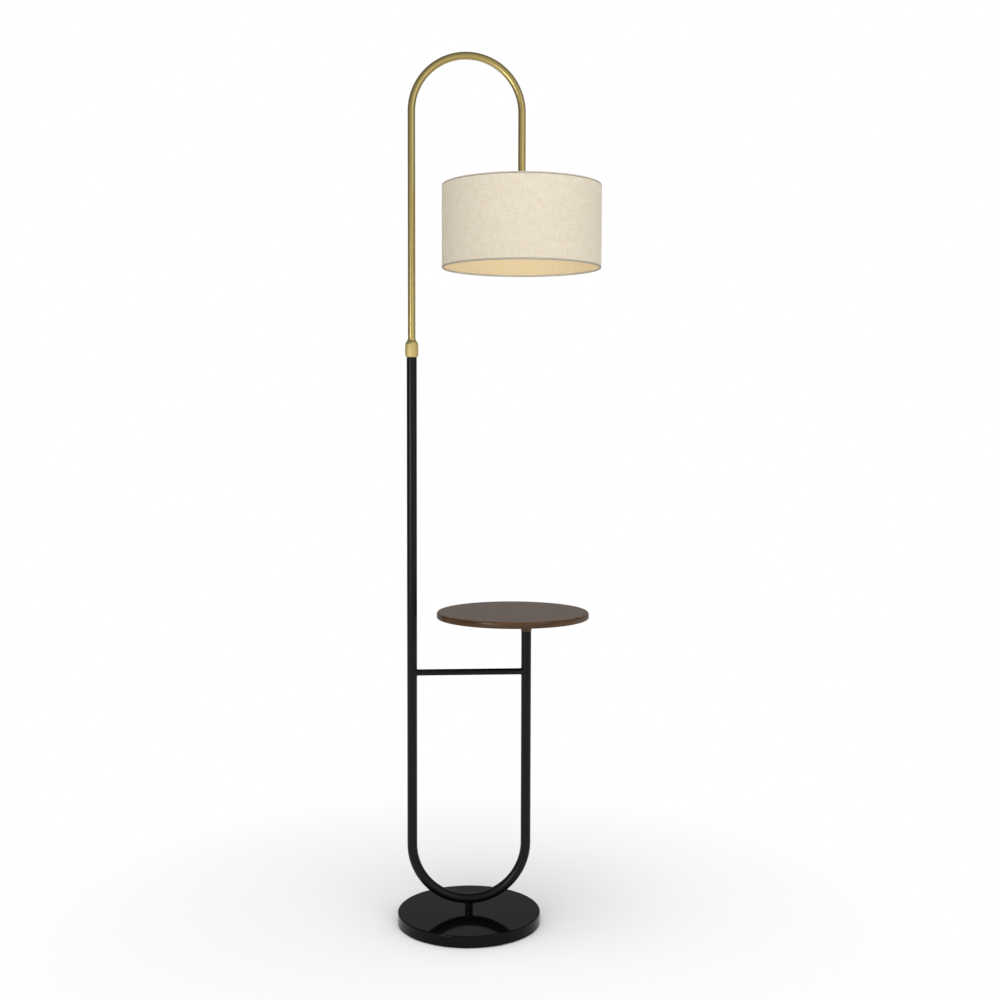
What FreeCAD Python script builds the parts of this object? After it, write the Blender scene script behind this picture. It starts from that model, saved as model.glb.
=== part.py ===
import FreeCAD, Part
import math
import os
import re

import Sketcher
from FreeCAD import Placement, Rotation, Vector

# A floor lamp with a small round table.  One black tube is bent to a long pole, a U and a short leg.
# The leg carries a walnut table top, and a brass arch swivels on the pole and holds a drum shade.
# X runs from the pole to the leg, Z is up, and the origin is on the floor under the base's centre.

SIZES = {
    # base
    "base_diameter": 274,
    "base_height": 23,
    "base_edge_round": 2.5,
    "cover_wall": 1.2,
    "cover_lift": 1.5,
    "pad_thickness": 2.2,
    "pad_margin": 6,
    "weight_clearance": 1.8,
    "weight_corner": 2,
    "recess_diameter": 34,
    "recess_web": 5.8,
    "pipe_diameter": 10,
    "pipe_bore": 7,
    "pipe_foot_height": 10,
    "pipe_head_reach": 9,
    "washer_diameter": 26,
    "washer_thickness": 1.6,
    "lock_nut_width": 14,
    "lock_nut_height": 3.8,
    # cable inlet in the back of the base
    "inlet_height": 7.8,
    "inlet_bore": 7,
    "inlet_length": 12,
    "inlet_body_diameter": 10,
    "inlet_flange_diameter": 12,
    "inlet_flange_thickness": 1.5,
    "channel_width": 11,
    "channel_top": 14,
    # black frame
    "neck_diameter": 15,
    "neck_height": 12.5,
    "neck_bore": 9,
    "frame_half_width": 109,
    "frame_tube_diameter": 19,
    "frame_tube_wall": 1.2,
    "lead_hole_diameter": 9,
    "pole_height": 1083.5,
    "cross_bar_height": 486,
    "cross_bar_diameter": 12,
    "cross_bar_wall": 1,
    # table
    "table_height": 602,
    "table_diameter": 290,
    "table_thickness": 12,
    "table_top_round": 4,
    "table_foot_round": 1.5,
    "table_offset": 26,
    "boss_diameter": 20,
    "boss_height": 23.5,
    "stud_diameter": 8,
    "stud_depth": 14,
    "stud_clearance": 0.3,
    "leg_plug_length": 18,
    "plate_diameter": 70,
    "plate_thickness": 3,
    "plate_nut_width": 13,
    "plate_nut_height": 4,
    "plate_nut_headroom": 1.2,
    "plate_recess_diameter": 18,
    "screw_circle_diameter": 52,
    "screw_head_diameter": 7,
    "screw_shank_diameter": 3.5,
    "screw_length": 10,
    # swivel on top of the pole
    "flange_thickness": 2,
    "swivel_plug_length": 16,
    "spindle_engagement": 11,
    "spindle_tail": 2.5,
    "swivel_gap": 0.3,
    "running_gap": 0.1,
    "seat_gap": 0.05,
    "free_gap": 0.4,
    "friction_washer_thickness": 1,
    "spring_thickness": 0.8,
    "spring_rise": 1.0,
    "swivel_nut_width": 13,
    "swivel_nut_height": 5,
    "stop_pin_diameter": 1.6,
    "stop_pin_circle": 6.7,
    "stop_pin_length": 7,
    "stop_groove_depth": 4.2,
    "collar_diameter": 25,
    "collar_height": 34.7,
    "collar_foot_diameter": 21.2,
    "collar_side_diameter": 24.2,
    "collar_side_start": 3.5,
    "collar_side_end": 24,
    "collar_corner_radius": 6,
    "collar_shoulder_diameter": 20.4,
    "collar_shoulder_height": 29,
    "collar_lip": 0.35,
    "collar_tube_depth": 18,
    # brass arch
    "lamp_height": 1650,
    "arch_tube_diameter": 14,
    "arch_tube_wall": 1,
    "shade_axis": 97.5,
    # shade
    "shade_drop": 244,
    "shade_height": 155,
    "shade_diameter": 300,
    "fabric_thickness": 0.6,
    "liner_thickness": 0.5,
    "rim_wire_diameter": 2.2,
    "rim_cloth_thickness": 0.4,
    "rim_cloth_gap": 0.3,
    "arm_diameter": 3,
    "arm_flat_run": 96,
    "arm_bend_radius": 14,
    "arm_end_gap": 0.35,
    # lamp holder and switch
    "tube_reach": 10,
    "end_plug_length": 14,
    "holder_diameter": 39,
    "holder_wall": 1.4,
    "holder_cap_height": 24,
    "holder_cap_round": 7,
    "holder_shell_height": 36,
    "holder_flange_width": 3.2,
    "holder_flange_thickness": 1.6,
    "hub_diameter": 54,
    "hub_thickness": 2,
    "ring_nut_diameter": 50,
    "ring_nut_height": 8,
    "core_thickness": 8,
    "screw_shell_diameter": 29,
    "screw_shell_wall": 0.8,
    "screw_shell_height": 22,
    "contact_diameter": 7,
    "contact_height": 2,
    "switch_block_diameter": 28,
    "switch_block_height": 13,
    "switch_height": 10,
    "switch_spindle_diameter": 3,
    "switch_spindle_length": 24,
    "switch_seat_depth": 6,
    "knob_diameter": 11,
    "knob_length": 12,
    "knob_standoff": 2,
    # bulb
    "bulb_diameter": 45,
    "bulb_length": 78,
    "bulb_wall": 0.9,
    "bulb_cap_diameter": 26.2,
    "bulb_cap_height": 21,
    "bulb_cap_wall": 0.4,
    "bulb_insulator_height": 3,
    "bulb_tip_diameter": 9,
    "bulb_tip_height": 1.6,
    "bulb_throat_gap": 0.2,
    # wiring
    "lead_diameter": 5.4,
    "lead_low_height": 5.3,
    "lead_start_gap": 14,
    "lead_end_gap": 0.2,
    "lead_low_radius": 5.5,
    "lead_turn_radius": 8,
}

# Places and sizes that follow from the driving ones, as formulas of them.
FOLLOWING = {
    "base_radius": "base_diameter / 2",
    "cover_inside": "base_height - cover_wall",
    "weight_radius": "base_radius - cover_wall - weight_clearance",
    "recess_top": "cover_inside - recess_web",
    "frame_radius": "frame_tube_diameter / 2",
    "frame_bore": "frame_radius - frame_tube_wall",
    "bend_height": "base_height + neck_height + frame_radius + frame_half_width",
    "bend_bottom": "bend_height - frame_half_width",
    "pole_tube_top": "pole_height - flange_thickness",
    "table_underside": "table_height - table_thickness",
    "table_axis": "frame_half_width - table_offset",
    "plate_underside": "table_underside - plate_thickness",
    "leg_top": "plate_underside - boss_height",
    "screw_circle": "screw_circle_diameter / 2",
    "spindle_radius": "pipe_diameter / 2",
    "pipe_bore_radius": "pipe_bore / 2",
    "swivel_foot": "pole_tube_top - swivel_plug_length",
    "washer_top": "swivel_foot - running_gap",
    "spring_top": "washer_top - friction_washer_thickness",
    "spring_foot": "spring_top - spring_thickness - spring_rise",
    "nut_foot": "spring_foot - swivel_nut_height",
    "collar_foot": "pole_height + swivel_gap",
    "collar_top": "collar_foot + collar_height",
    "arch_tube_foot": "collar_top - collar_tube_depth",
    "spindle_head": "collar_foot + spindle_engagement",
    "groove_top": "collar_foot + stop_groove_depth",
    "arch_pin_foot": "collar_foot + swivel_gap",
    "arch_radius": "arch_tube_diameter / 2",
    "arch_bore": "arch_radius - arch_tube_wall",
    "arch_bend": "(frame_half_width + shade_axis) / 2",
    "arch_bend_height": "lamp_height - arch_radius - arch_bend",
    "shade_top": "lamp_height - shade_drop",
    "holder_top": "shade_top - tube_reach",
    "flange_top": "holder_top - holder_cap_height",
    "flange_foot": "flange_top - holder_flange_thickness",
    "hub_foot": "flange_foot - hub_thickness",
    "holder_radius": "holder_diameter / 2",
    "holder_foot": "flange_top - holder_shell_height",
    "core_foot": "flange_top - core_thickness",
    "contact_foot": "core_foot - contact_height",
    "switch_axis": "holder_top - switch_height",
    "switch_block_top": "switch_axis + switch_block_height / 2",
    "bulb_tip": "contact_foot",
    "bulb_insulator_top": "bulb_tip - bulb_tip_height",
    "bulb_cap_top": "bulb_insulator_top - bulb_insulator_height",
    "bulb_cap_foot": "bulb_cap_top - bulb_cap_height",
    "bulb_bottom": "bulb_tip - bulb_length",
    "shade_radius": "shade_diameter / 2",
    "rim_wire_radius": "rim_wire_diameter / 2",
    "rim_radius": "rim_wire_radius + rim_cloth_gap + rim_cloth_thickness",
    "rim_circle": "shade_radius - rim_radius",
    "rim_rise": "shade_height / 2 - rim_radius",
    "shade_middle": "shade_top - shade_height / 2",
    "liner_outside": "shade_radius - fabric_thickness",
    "liner_inside": "liner_outside - liner_thickness",
    "cloth_rise": "rim_rise - rim_radius - seat_gap",
    "lead_radius": "lead_diameter / 2",
    "lead_turn_height": "bend_height - sqrt(frame_half_width ^ 2 + 2 * frame_half_width * lead_turn_radius)",
}

doc = FreeCAD.newDocument("FloorLamp")
sheet = doc.addObject("Spreadsheet::Sheet", "Sizes")
for row, (alias, size) in enumerate(SIZES.items(), 1):
    sheet.set(f"A{row}", alias)
    sheet.set(f"B{row}", str(size))
    sheet.setAlias(f"B{row}", alias)
doc.recompute()


# ---------------------------------------------------------------- formulas

def formula(text):
    """Spell a formula of size names as an expression that reads the sheet."""
    def spell(match):
        word = match[0]
        if word in FOLLOWING:
            return f"({formula(FOLLOWING[word])})"
        return f"Sizes.{word}" if word in SIZES else word
    return re.sub(r"[a-z_]+", spell, text)


def number(text):
    """The present value of a formula, in millimetres."""
    return float(sheet.evalExpression(formula(text)))


def bind(piece, **formulas):
    """Tie properties of a piece to formulas."""
    for name, text in formulas.items():
        piece.setExpression(name, formula(text))


def place(piece, x="0", y="0", z="0", turn=None):
    """Put a piece at a point given by formulas, turned as a Rotation says."""
    if turn:
        piece.Placement = Placement(Vector(), turn)
    for axis, text in (("x", x), ("y", y), ("z", z)):
        if text != "0":
            piece.setExpression(f"Placement.Base.{axis}", formula(text))
    return piece


# ---------------------------------------------------------------- sketches

def new_sketch(body, plane, name, height="0"):
    """A sketch on one of the body's own origin planes, lifted off it by a formula."""
    sketch = body.newObject("Sketcher::SketchObject", f"{body.Name}_{name}")
    face = next(feature for feature in body.Origin.OriginFeatures if feature.Role == plane)
    sketch.AttachmentSupport = [(face, "")]
    sketch.MapMode = "FlatFace"
    if height != "0":
        sketch.setExpression("AttachmentOffset.Base.z", formula(height))
    return sketch


def constrain(sketch, kind, *item, text):
    """Add a dimension to a sketch and tie it to a formula."""
    index = sketch.addConstraint(Sketcher.Constraint(kind, *item, number(text)))
    sketch.setExpression(f"Constraints[{index}]", formula(text))


def draw_circle(sketch, x, y, radius):
    """A full circle whose centre and radius are formulas."""
    centre = Vector(number(x), number(y), 0)
    edge = sketch.addGeometry(Part.Circle(centre, Vector(0, 0, 1), number(radius)))
    constrain(sketch, "DistanceX", edge, 3, text=x)
    constrain(sketch, "DistanceY", edge, 3, text=y)
    constrain(sketch, "Radius", edge, text=radius)


def arc_between(start, end, radius, leftward):
    """The arc under a half circle from start to end, with its centre on the side named."""
    chord = end - start
    side = Vector(-chord.y, chord.x, 0).normalize() * (1 if leftward else -1)
    centre = (start + end) * 0.5 + side * math.sqrt(max(radius ** 2 - chord.Length ** 2 / 4, 0))
    first, last = (start, end) if leftward else (end, start)
    angles = [math.atan2(point.y - centre.y, point.x - centre.x) for point in (first, last)]
    return Part.ArcOfCircle(Part.Circle(centre, Vector(0, 0, 1), radius), *angles)


def draw_outline(sketch, corners):
    """A closed outline; a corner (x, y, radius, side) is reached by an arc centred on that side."""
    points = [Vector(number(corner[0]), number(corner[1]), 0) for corner in corners]
    ends = []
    for index, corner in enumerate(corners):
        start, end = points[index - 1], points[index]
        if len(corner) == 2:
            sketch.addGeometry(Part.LineSegment(start, end))
            ends.append((1, 2))
        else:
            leftward = corner[3] == "left"
            sketch.addGeometry(arc_between(start, end, number(corner[2]), leftward))
            ends.append((1, 2) if leftward else (2, 1))
    for index in range(len(corners)):
        sketch.addConstraint(Sketcher.Constraint("Coincident", index - 1 if index else len(corners) - 1,
                                                 ends[index - 1][1], index, ends[index][0]))
    for index, corner in enumerate(corners):
        constrain(sketch, "DistanceX", index, ends[index][1], text=corner[0])
        constrain(sketch, "DistanceY", index, ends[index][1], text=corner[1])
        if len(corner) > 2:
            constrain(sketch, "Radius", index, text=corner[2])


def draw_hairpin(sketch, left, right, bend, start, end, upward):
    """A spine of two upright runs and the half circle that joins them, above or below."""
    low, x_left, x_right = number(bend), number(left), number(right)
    centre = Vector((x_left + x_right) / 2, low, 0)
    half_turn = (0, math.pi) if upward else (math.pi, 2 * math.pi)
    arc = Part.ArcOfCircle(Part.Circle(centre, Vector(0, 0, 1), (x_right - x_left) / 2), *half_turn)
    sketch.addGeometry([
        Part.LineSegment(Vector(x_left, number(start), 0), Vector(x_left, low, 0)),
        arc,
        Part.LineSegment(Vector(x_right, low, 0), Vector(x_right, number(end), 0))])
    near, far = (2, 1) if upward else (1, 2)
    for edge, point, x, y in ((0, 1, left, start), (0, 2, left, bend), (1, far, right, bend)):
        constrain(sketch, "DistanceX", edge, point, text=x)
        constrain(sketch, "DistanceY", edge, point, text=y)
    sketch.addConstraint(Sketcher.Constraint("Tangent", 0, 2, 1, near))
    sketch.addConstraint(Sketcher.Constraint("Tangent", 1, far, 2, 1))
    constrain(sketch, "DistanceY", 2, 2, text=end)


# ---------------------------------------------------------------- kinds of piece

def turned(label, corners, **where):
    """A solid turned about its own upright axis from an outline of radii and heights."""
    body = place(doc.addObject("PartDesign::Body", label), **where)
    sketch = new_sketch(body, "XZ_Plane", "section")
    draw_outline(sketch, corners)
    spin = body.newObject("PartDesign::Revolution", f"{label}_spin")
    spin.Profile = sketch
    spin.ReferenceAxis = (sketch, ["V_Axis"])
    spin.Angle = 360
    return body


def sleeve(label, inside, outside, foot, top, **where):
    """A plain round sleeve, ring or, with no bore, a disc."""
    return turned(label, [(inside, foot), (outside, foot), (outside, top), (inside, top)], **where)


def hairpin_tube(label, radius, bore, left, right, bend, start, end, upward):
    """A tube, or a cord where it has no bore, swept along two upright runs and a half circle."""
    body = doc.addObject("PartDesign::Body", label)
    spine = new_sketch(body, "XZ_Plane", "spine")
    draw_hairpin(spine, left, right, bend, start, end, upward)
    section = new_sketch(body, "XY_Plane", "section", start)
    draw_circle(section, left, "0", radius)
    if bore:
        draw_circle(section, left, "0", bore)
    pipe = body.newObject("PartDesign::AdditivePipe", f"{label}_pipe")
    pipe.Profile = section
    pipe.Spine = (spine, ["Edge1", "Edge2", "Edge3"])
    return body


def cylinder(name, radius, height, **where):
    """A cylinder used as a blank or a cutter."""
    blank = doc.addObject("Part::Cylinder", name)
    bind(blank, Radius=radius, Height=height)
    return place(blank, **where)


def cut(label, base, *tools):
    """A piece left when the tools are taken from the base."""
    tool = tools[0]
    if len(tools) > 1:
        tool = doc.addObject("Part::MultiFuse", f"{label}_cutters")
        tool.Shapes = list(tools)
    result = doc.addObject("Part::Cut", label)
    result.Base = base
    result.Tool = tool
    return result


def hex_nut(label, width, bore, foot, height, x="0"):
    """A hexagonal nut standing on its foot height."""
    blank = doc.addObject("Part::Prism", f"{label}_blank")
    blank.Polygon = 6
    bind(blank, Circumradius=f"{width} / 2 / cos(30)", Height=height)
    place(blank, x=x, z=foot)
    return cut(label, blank, cylinder(f"{label}_bore", bore, height, x=x, z=foot))


ALONG_X = Rotation(Vector(0, 1, 0), 90)
ALONG_Y = Rotation(Vector(1, 0, 0), -90)
AGAINST_Y = Rotation(Vector(1, 0, 0), 90)
UPSIDE_DOWN = Rotation(Vector(1, 0, 0), 180)
POLE = "-frame_half_width"
LEG = "frame_half_width"


# ---------------------------------------------------------------- base

def base_cover():
    """Spun steel shell: a flat top with a centre hole, a rounded rim and an upright side."""
    inner_round = "base_edge_round - cover_wall"
    inner = "base_radius - cover_wall"
    blank = turned("base_cover_blank", [
        ("spindle_radius + seat_gap", "base_height"),
        ("spindle_radius + seat_gap", "cover_inside"),
        (f"{inner} - ({inner_round})", "cover_inside"),
        (inner, f"cover_inside - ({inner_round})", inner_round, "right"),
        (inner, "cover_lift"),
        ("base_radius", "cover_lift"),
        ("base_radius", "base_height - base_edge_round"),
        ("base_radius - base_edge_round", "base_height", "base_edge_round", "left")])
    through_side = "base_radius - weight_radius + cover_wall"
    hole = cylinder("base_cover_inlet", "inlet_body_diameter / 2 + seat_gap", through_side,
                    y="weight_radius", z="inlet_height", turn=ALONG_Y)
    return cut("base_cover", blank, hole)


def base_weight():
    """Cast iron disc with a recess for the nut and a channel for the lead to the back."""
    foot = "pad_thickness"
    blank = turned("base_weight_blank", [
        ("spindle_radius + seat_gap", "cover_inside"),
        ("spindle_radius + seat_gap", "recess_top"),
        ("recess_diameter / 2", "recess_top"),
        ("recess_diameter / 2", foot),
        ("weight_radius - weight_corner", foot),
        ("weight_radius", f"{foot} + weight_corner", "weight_corner", "left"),
        ("weight_radius", "cover_inside - weight_corner"),
        ("weight_radius - weight_corner", "cover_inside", "weight_corner", "left")])
    channel = doc.addObject("Part::Box", "base_weight_channel")
    bind(channel, Length="channel_width", Width="base_radius", Height="channel_top")
    place(channel, x="-channel_width / 2")
    return cut("base_weight", blank, channel)


def base_pieces():
    """Cover, weight, felt, the threaded pipe that clamps them, and the cable inlet."""
    sleeve("base_pad", "0", "weight_radius - pad_margin", "0", "pad_thickness")
    sleeve("base_pipe", "pipe_bore_radius", "spindle_radius", "pipe_foot_height",
           "base_height + pipe_head_reach")
    sleeve("base_washer", "spindle_radius + seat_gap", "washer_diameter / 2",
           "recess_top - washer_thickness", "recess_top")
    hex_nut("base_nut", "lock_nut_width", "spindle_radius + seat_gap",
            "recess_top - washer_thickness - lock_nut_height", "lock_nut_height")
    flange_start = "inlet_length - inlet_flange_thickness"
    turned("cord_inlet", [
        ("inlet_bore / 2", "0"),
        ("inlet_body_diameter / 2", "0"),
        ("inlet_body_diameter / 2", flange_start),
        ("inlet_flange_diameter / 2", flange_start),
        ("inlet_flange_diameter / 2", "inlet_length"),
        ("inlet_bore / 2", "inlet_length")],
        y=f"base_radius + seat_gap - ({flange_start})", z="inlet_height", turn=ALONG_Y)


# ---------------------------------------------------------------- black frame

def neck_post():
    """Short post on the base, coped to the underside of the bend."""
    blank = turned("neck_blank", [
        ("spindle_radius + seat_gap", "base_height"),
        ("neck_diameter / 2", "base_height"),
        ("neck_diameter / 2", "bend_bottom"),
        ("neck_bore / 2", "bend_bottom"),
        ("neck_bore / 2", "base_height + pipe_head_reach + seat_gap"),
        ("spindle_radius + seat_gap", "base_height + pipe_head_reach + seat_gap")])
    bend = doc.addObject("Part::Torus", "neck_cope")
    bind(bend, Radius1="frame_half_width", Radius2="frame_radius")
    place(bend, z="bend_height", turn=AGAINST_Y)
    return cut("neck_post", blank, bend)


def frame_tube():
    """Pole, bend and leg in one bent tube, with the lead's hole at the bottom of the bend."""
    tube = hairpin_tube("frame_tube_blank", "frame_radius", "frame_bore", POLE, LEG, "bend_height",
                        "pole_tube_top", "leg_top", upward=False)
    hole = cylinder("frame_tube_lead_hole", "lead_hole_diameter / 2", "frame_radius + neck_height",
                    z="base_height")
    return cut("frame_tube", tube, hole)


def cross_bar():
    """Thin tube between pole and leg, coped to both."""
    middle = {"x": POLE, "z": "cross_bar_height", "turn": ALONG_X}
    bar = cylinder("cross_bar_blank", "cross_bar_diameter / 2", "2 * frame_half_width", **middle)
    bore = cylinder("cross_bar_bore", "cross_bar_diameter / 2 - cross_bar_wall", "2 * frame_half_width",
                    **middle)
    copes = [cylinder(f"cross_bar_cope_{index}", "frame_radius", "2 * cross_bar_diameter",
                      x=side, z="cross_bar_height - cross_bar_diameter")
             for index, side in enumerate((POLE, LEG), 1)]
    return cut("cross_bar", bar, bore, *copes)


# ---------------------------------------------------------------- table

def screw_set(label, room="0"):
    """The countersunk screws under the table, or with some room the holes they go in."""
    spots = []
    for index, (x, y) in enumerate(((1, 1), (-1, 1), (-1, -1), (1, -1))):
        head = f"screw_head_diameter / 2 + {room}"
        shank = f"screw_shank_diameter / 2 + {room}"
        taper = "(screw_head_diameter - screw_shank_diameter) / 2"
        spots.append(turned(f"{label}_{index + 1}", [
            ("0", "0"), (head, "0"), (shank, taper), (shank, "screw_length - screw_shank_diameter / 2"),
            ("0", f"screw_length + {room}")],
            x=f"{LEG} + {x} * screw_circle * sqrt(0.5)", y=f"{y} * screw_circle * sqrt(0.5)",
            z="plate_underside"))
    group = doc.addObject("Part::Compound", label)
    group.Links = spots
    return group


def table_pieces():
    """Plug, stud, wooden boss, plate, nut, screws and the table top itself."""
    stud_room = "stud_diameter / 2 + stud_clearance"
    nut_top = "table_underside + plate_nut_height"
    turned("leg_plug", [
        ("stud_diameter / 2 + seat_gap", "leg_top"),
        ("stud_diameter / 2 + seat_gap", "leg_top - leg_plug_length"),
        ("frame_bore - seat_gap", "leg_top - leg_plug_length"),
        ("frame_bore - seat_gap", "leg_top")], x=LEG)
    sleeve("table_stud", "0", "stud_diameter / 2", "leg_top - stud_depth", nut_top, x=LEG)
    sleeve("table_boss", stud_room, "boss_diameter / 2", "leg_top", "plate_underside", x=LEG)
    plate = sleeve("table_plate_blank", stud_room, "plate_diameter / 2", "plate_underside",
                   "table_underside", x=LEG)
    cut("table_plate", plate, screw_set("plate_screw_holes", "seat_gap"))
    hex_nut("table_nut", "plate_nut_width", "stud_diameter / 2 + seat_gap", "table_underside",
            "plate_nut_height", x=LEG)
    screw_set("table_screws")
    top = turned("table_top_blank", [
        ("0", "table_underside"),
        ("table_diameter / 2 - table_foot_round", "table_underside"),
        ("table_diameter / 2", "table_underside + table_foot_round", "table_foot_round", "left"),
        ("table_diameter / 2", "table_height - table_top_round"),
        ("table_diameter / 2 - table_top_round", "table_height", "table_top_round", "left"),
        ("0", "table_height")], x="table_axis")
    recess = cylinder("table_recess", "plate_recess_diameter / 2", "plate_nut_height + plate_nut_headroom",
                      x=LEG, z="table_underside")
    cut("table_top", top, recess, screw_set("table_pilot_holes", "seat_gap"))


# ---------------------------------------------------------------- swivel

def swivel_pieces():
    """Bush in the pole, the hollow spindle that turns in it, and what holds it down."""
    bore = "spindle_radius + running_gap"
    plug = turned("pole_plug_blank", [
        (bore, "pole_height"),
        (bore, "swivel_foot"),
        ("frame_bore - seat_gap", "swivel_foot"),
        ("frame_bore - seat_gap", "pole_tube_top"),
        ("frame_radius", "pole_tube_top"),
        ("frame_radius", "pole_height")], x=POLE)
    pin_top = "groove_top - swivel_gap"
    pin_hole = cylinder("pole_plug_pin_hole", "stop_pin_diameter / 2 + seat_gap", "stop_pin_length",
                        x=f"{POLE} - stop_pin_circle", z=f"{pin_top} - stop_pin_length")
    cut("pole_plug", plug, pin_hole)
    sleeve("pole_stop_pin", "0", "stop_pin_diameter / 2", f"{pin_top} - stop_pin_length", pin_top,
           x=f"{POLE} - stop_pin_circle")
    sleeve("arch_stop_pin", "0", "stop_pin_diameter / 2", "arch_pin_foot",
           "arch_pin_foot + stop_pin_length", x=f"{POLE} + stop_pin_circle")
    sleeve("swivel_spindle", "pipe_bore_radius", "spindle_radius", "nut_foot - spindle_tail",
           "spindle_head", x=POLE)
    washer_edge = "frame_bore - free_gap"
    sleeve("swivel_washer", bore, washer_edge, "spring_top", "washer_top", x=POLE)
    turned("swivel_spring", [
        (bore, "spring_top - spring_thickness"),
        (washer_edge, "spring_foot"),
        (washer_edge, "spring_foot + spring_thickness"),
        (bore, "spring_top")], x=POLE)
    hex_nut("swivel_nut", "swivel_nut_width", "spindle_radius + seat_gap", "nut_foot",
            "swivel_nut_height", x=POLE)


def collar():
    """Brass barrel with a flared shoulder; its foot clears the stop pins round the spindle."""
    tube_seat = "arch_radius + seat_gap"
    groove = "stop_pin_circle + stop_pin_diameter / 2 + swivel_gap"
    bulge = "(collar_diameter - collar_side_diameter) / 2"
    half_side = "(collar_side_end - collar_side_start) / 2"
    blank = turned("collar_blank", [
        (groove, "collar_foot"),
        ("collar_foot_diameter / 2", "collar_foot"),
        ("collar_side_diameter / 2", "collar_foot + collar_side_start", "collar_corner_radius", "left"),
        ("collar_side_diameter / 2", "collar_foot + collar_side_end",
         f"(({half_side}) ^ 2 + ({bulge}) ^ 2) / (2 * ({bulge}))", "left"),
        ("collar_shoulder_diameter / 2", "collar_foot + collar_shoulder_height",
         "2 * collar_corner_radius", "left"),
        ("arch_radius + seat_gap + collar_lip", "collar_top", "1.25 * collar_corner_radius", "right"),
        (tube_seat, "collar_top"),
        (tube_seat, "arch_tube_foot"),
        ("spindle_radius + seat_gap", "arch_tube_foot"),
        ("spindle_radius + seat_gap", "groove_top"),
        (groove, "groove_top")], x=POLE)
    pin_hole = cylinder("collar_pin_hole", "stop_pin_diameter / 2 + seat_gap", "stop_pin_length",
                        x=f"{POLE} + stop_pin_circle", z="arch_pin_foot")
    return cut("collar", blank, pin_hole)


# ---------------------------------------------------------------- arch, lamp holder and switch

def arch_pieces():
    """The brass arch and the threaded plug in its end."""
    hairpin_tube("arch_tube", "arch_radius", "arch_bore", POLE, "shade_axis", "arch_bend_height",
                 "arch_tube_foot", "holder_top", upward=True)
    sleeve("arch_end_plug", "spindle_radius + seat_gap", "arch_bore - seat_gap", "holder_top",
           "holder_top + end_plug_length", x="shade_axis")
    sleeve("holder_pipe", "pipe_bore_radius", "spindle_radius", "switch_block_top + seat_gap",
           "holder_top + end_plug_length", x="shade_axis")


def holder_cap():
    """Brass cup over the switch, with the hole for its spindle."""
    inner_round = "holder_cap_round - holder_wall"
    inner = "holder_radius - holder_wall"
    ceiling = "holder_top - holder_wall"
    blank = turned("holder_cap_blank", [
        ("spindle_radius + seat_gap", "holder_top"),
        ("spindle_radius + seat_gap", ceiling),
        (f"{inner} - ({inner_round})", ceiling),
        (inner, f"{ceiling} - ({inner_round})", inner_round, "right"),
        (inner, "flange_top"),
        ("holder_radius", "flange_top"),
        ("holder_radius", "holder_top - holder_cap_round"),
        ("holder_radius - holder_cap_round", "holder_top", "holder_cap_round", "left")], x="shade_axis")
    hole = cylinder("holder_cap_spindle_hole", "switch_spindle_diameter / 2 + free_gap",
                    "holder_radius", x="shade_axis", z="switch_axis", turn=AGAINST_Y)
    return cut("holder_cap", blank, hole)


def switch_pieces():
    """Rotary switch in the cap, its spindle and the knob that turns it."""
    seat = "switch_block_diameter / 2 - switch_seat_depth"
    block = sleeve("switch_block_blank", "0", "switch_block_diameter / 2",
                   "switch_axis - switch_block_height / 2", "switch_block_top", x="shade_axis")
    socket = cylinder("switch_block_socket", "switch_spindle_diameter / 2 + running_gap",
                      "switch_block_diameter", x="shade_axis", y=f"-({seat})", z="switch_axis",
                      turn=AGAINST_Y)
    cut("switch_block", block, socket)
    out_from = {"x": "shade_axis", "z": "switch_axis", "turn": AGAINST_Y}
    sleeve("switch_spindle", "0", "switch_spindle_diameter / 2", f"{seat} + running_gap",
           f"{seat} + running_gap + switch_spindle_length", **out_from)
    knob_foot = "holder_radius + knob_standoff"
    knob_top = f"{knob_foot} + knob_length"
    spindle_end = f"{seat} + running_gap + switch_spindle_length + seat_gap"
    turned("switch_knob", [
        ("switch_spindle_diameter / 2 + seat_gap", knob_foot),
        ("knob_diameter / 2", knob_foot),
        ("knob_diameter / 2", f"{knob_top} - knob_diameter / 8"),
        ("knob_diameter * 3 / 8", knob_top, "knob_diameter / 8", "left"),
        ("0", knob_top),
        ("0", spindle_end),
        ("switch_spindle_diameter / 2 + seat_gap", spindle_end)], **out_from)


def holder_pieces():
    """Threaded shell with its flange, ring nut, insulating core, screw shell and contact."""
    inner = "holder_radius - holder_wall"
    turned("holder_shell", [
        (inner, "holder_foot"),
        ("holder_radius", "holder_foot"),
        ("holder_radius", "flange_foot"),
        ("holder_radius + holder_flange_width", "flange_foot"),
        ("holder_radius + holder_flange_width", "flange_top"),
        (inner, "flange_top")], x="shade_axis")
    sleeve("shade_ring_nut", "holder_radius + seat_gap", "ring_nut_diameter / 2",
           "hub_foot - ring_nut_height", "hub_foot", x="shade_axis")
    sleeve("holder_core", "contact_diameter / 4 + seat_gap", f"{inner} - seat_gap", "core_foot",
           "flange_top", x="shade_axis")
    sleeve("screw_shell", "screw_shell_diameter / 2 - screw_shell_wall", "screw_shell_diameter / 2",
           "core_foot - screw_shell_height", "core_foot", x="shade_axis")
    turned("holder_contact", [
        ("0", "contact_foot"), ("contact_diameter / 2", "contact_foot"),
        ("contact_diameter / 2", "core_foot"), ("contact_diameter / 4", "core_foot"),
        ("contact_diameter / 4", "flange_top"), ("0", "flange_top")], x="shade_axis")


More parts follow.
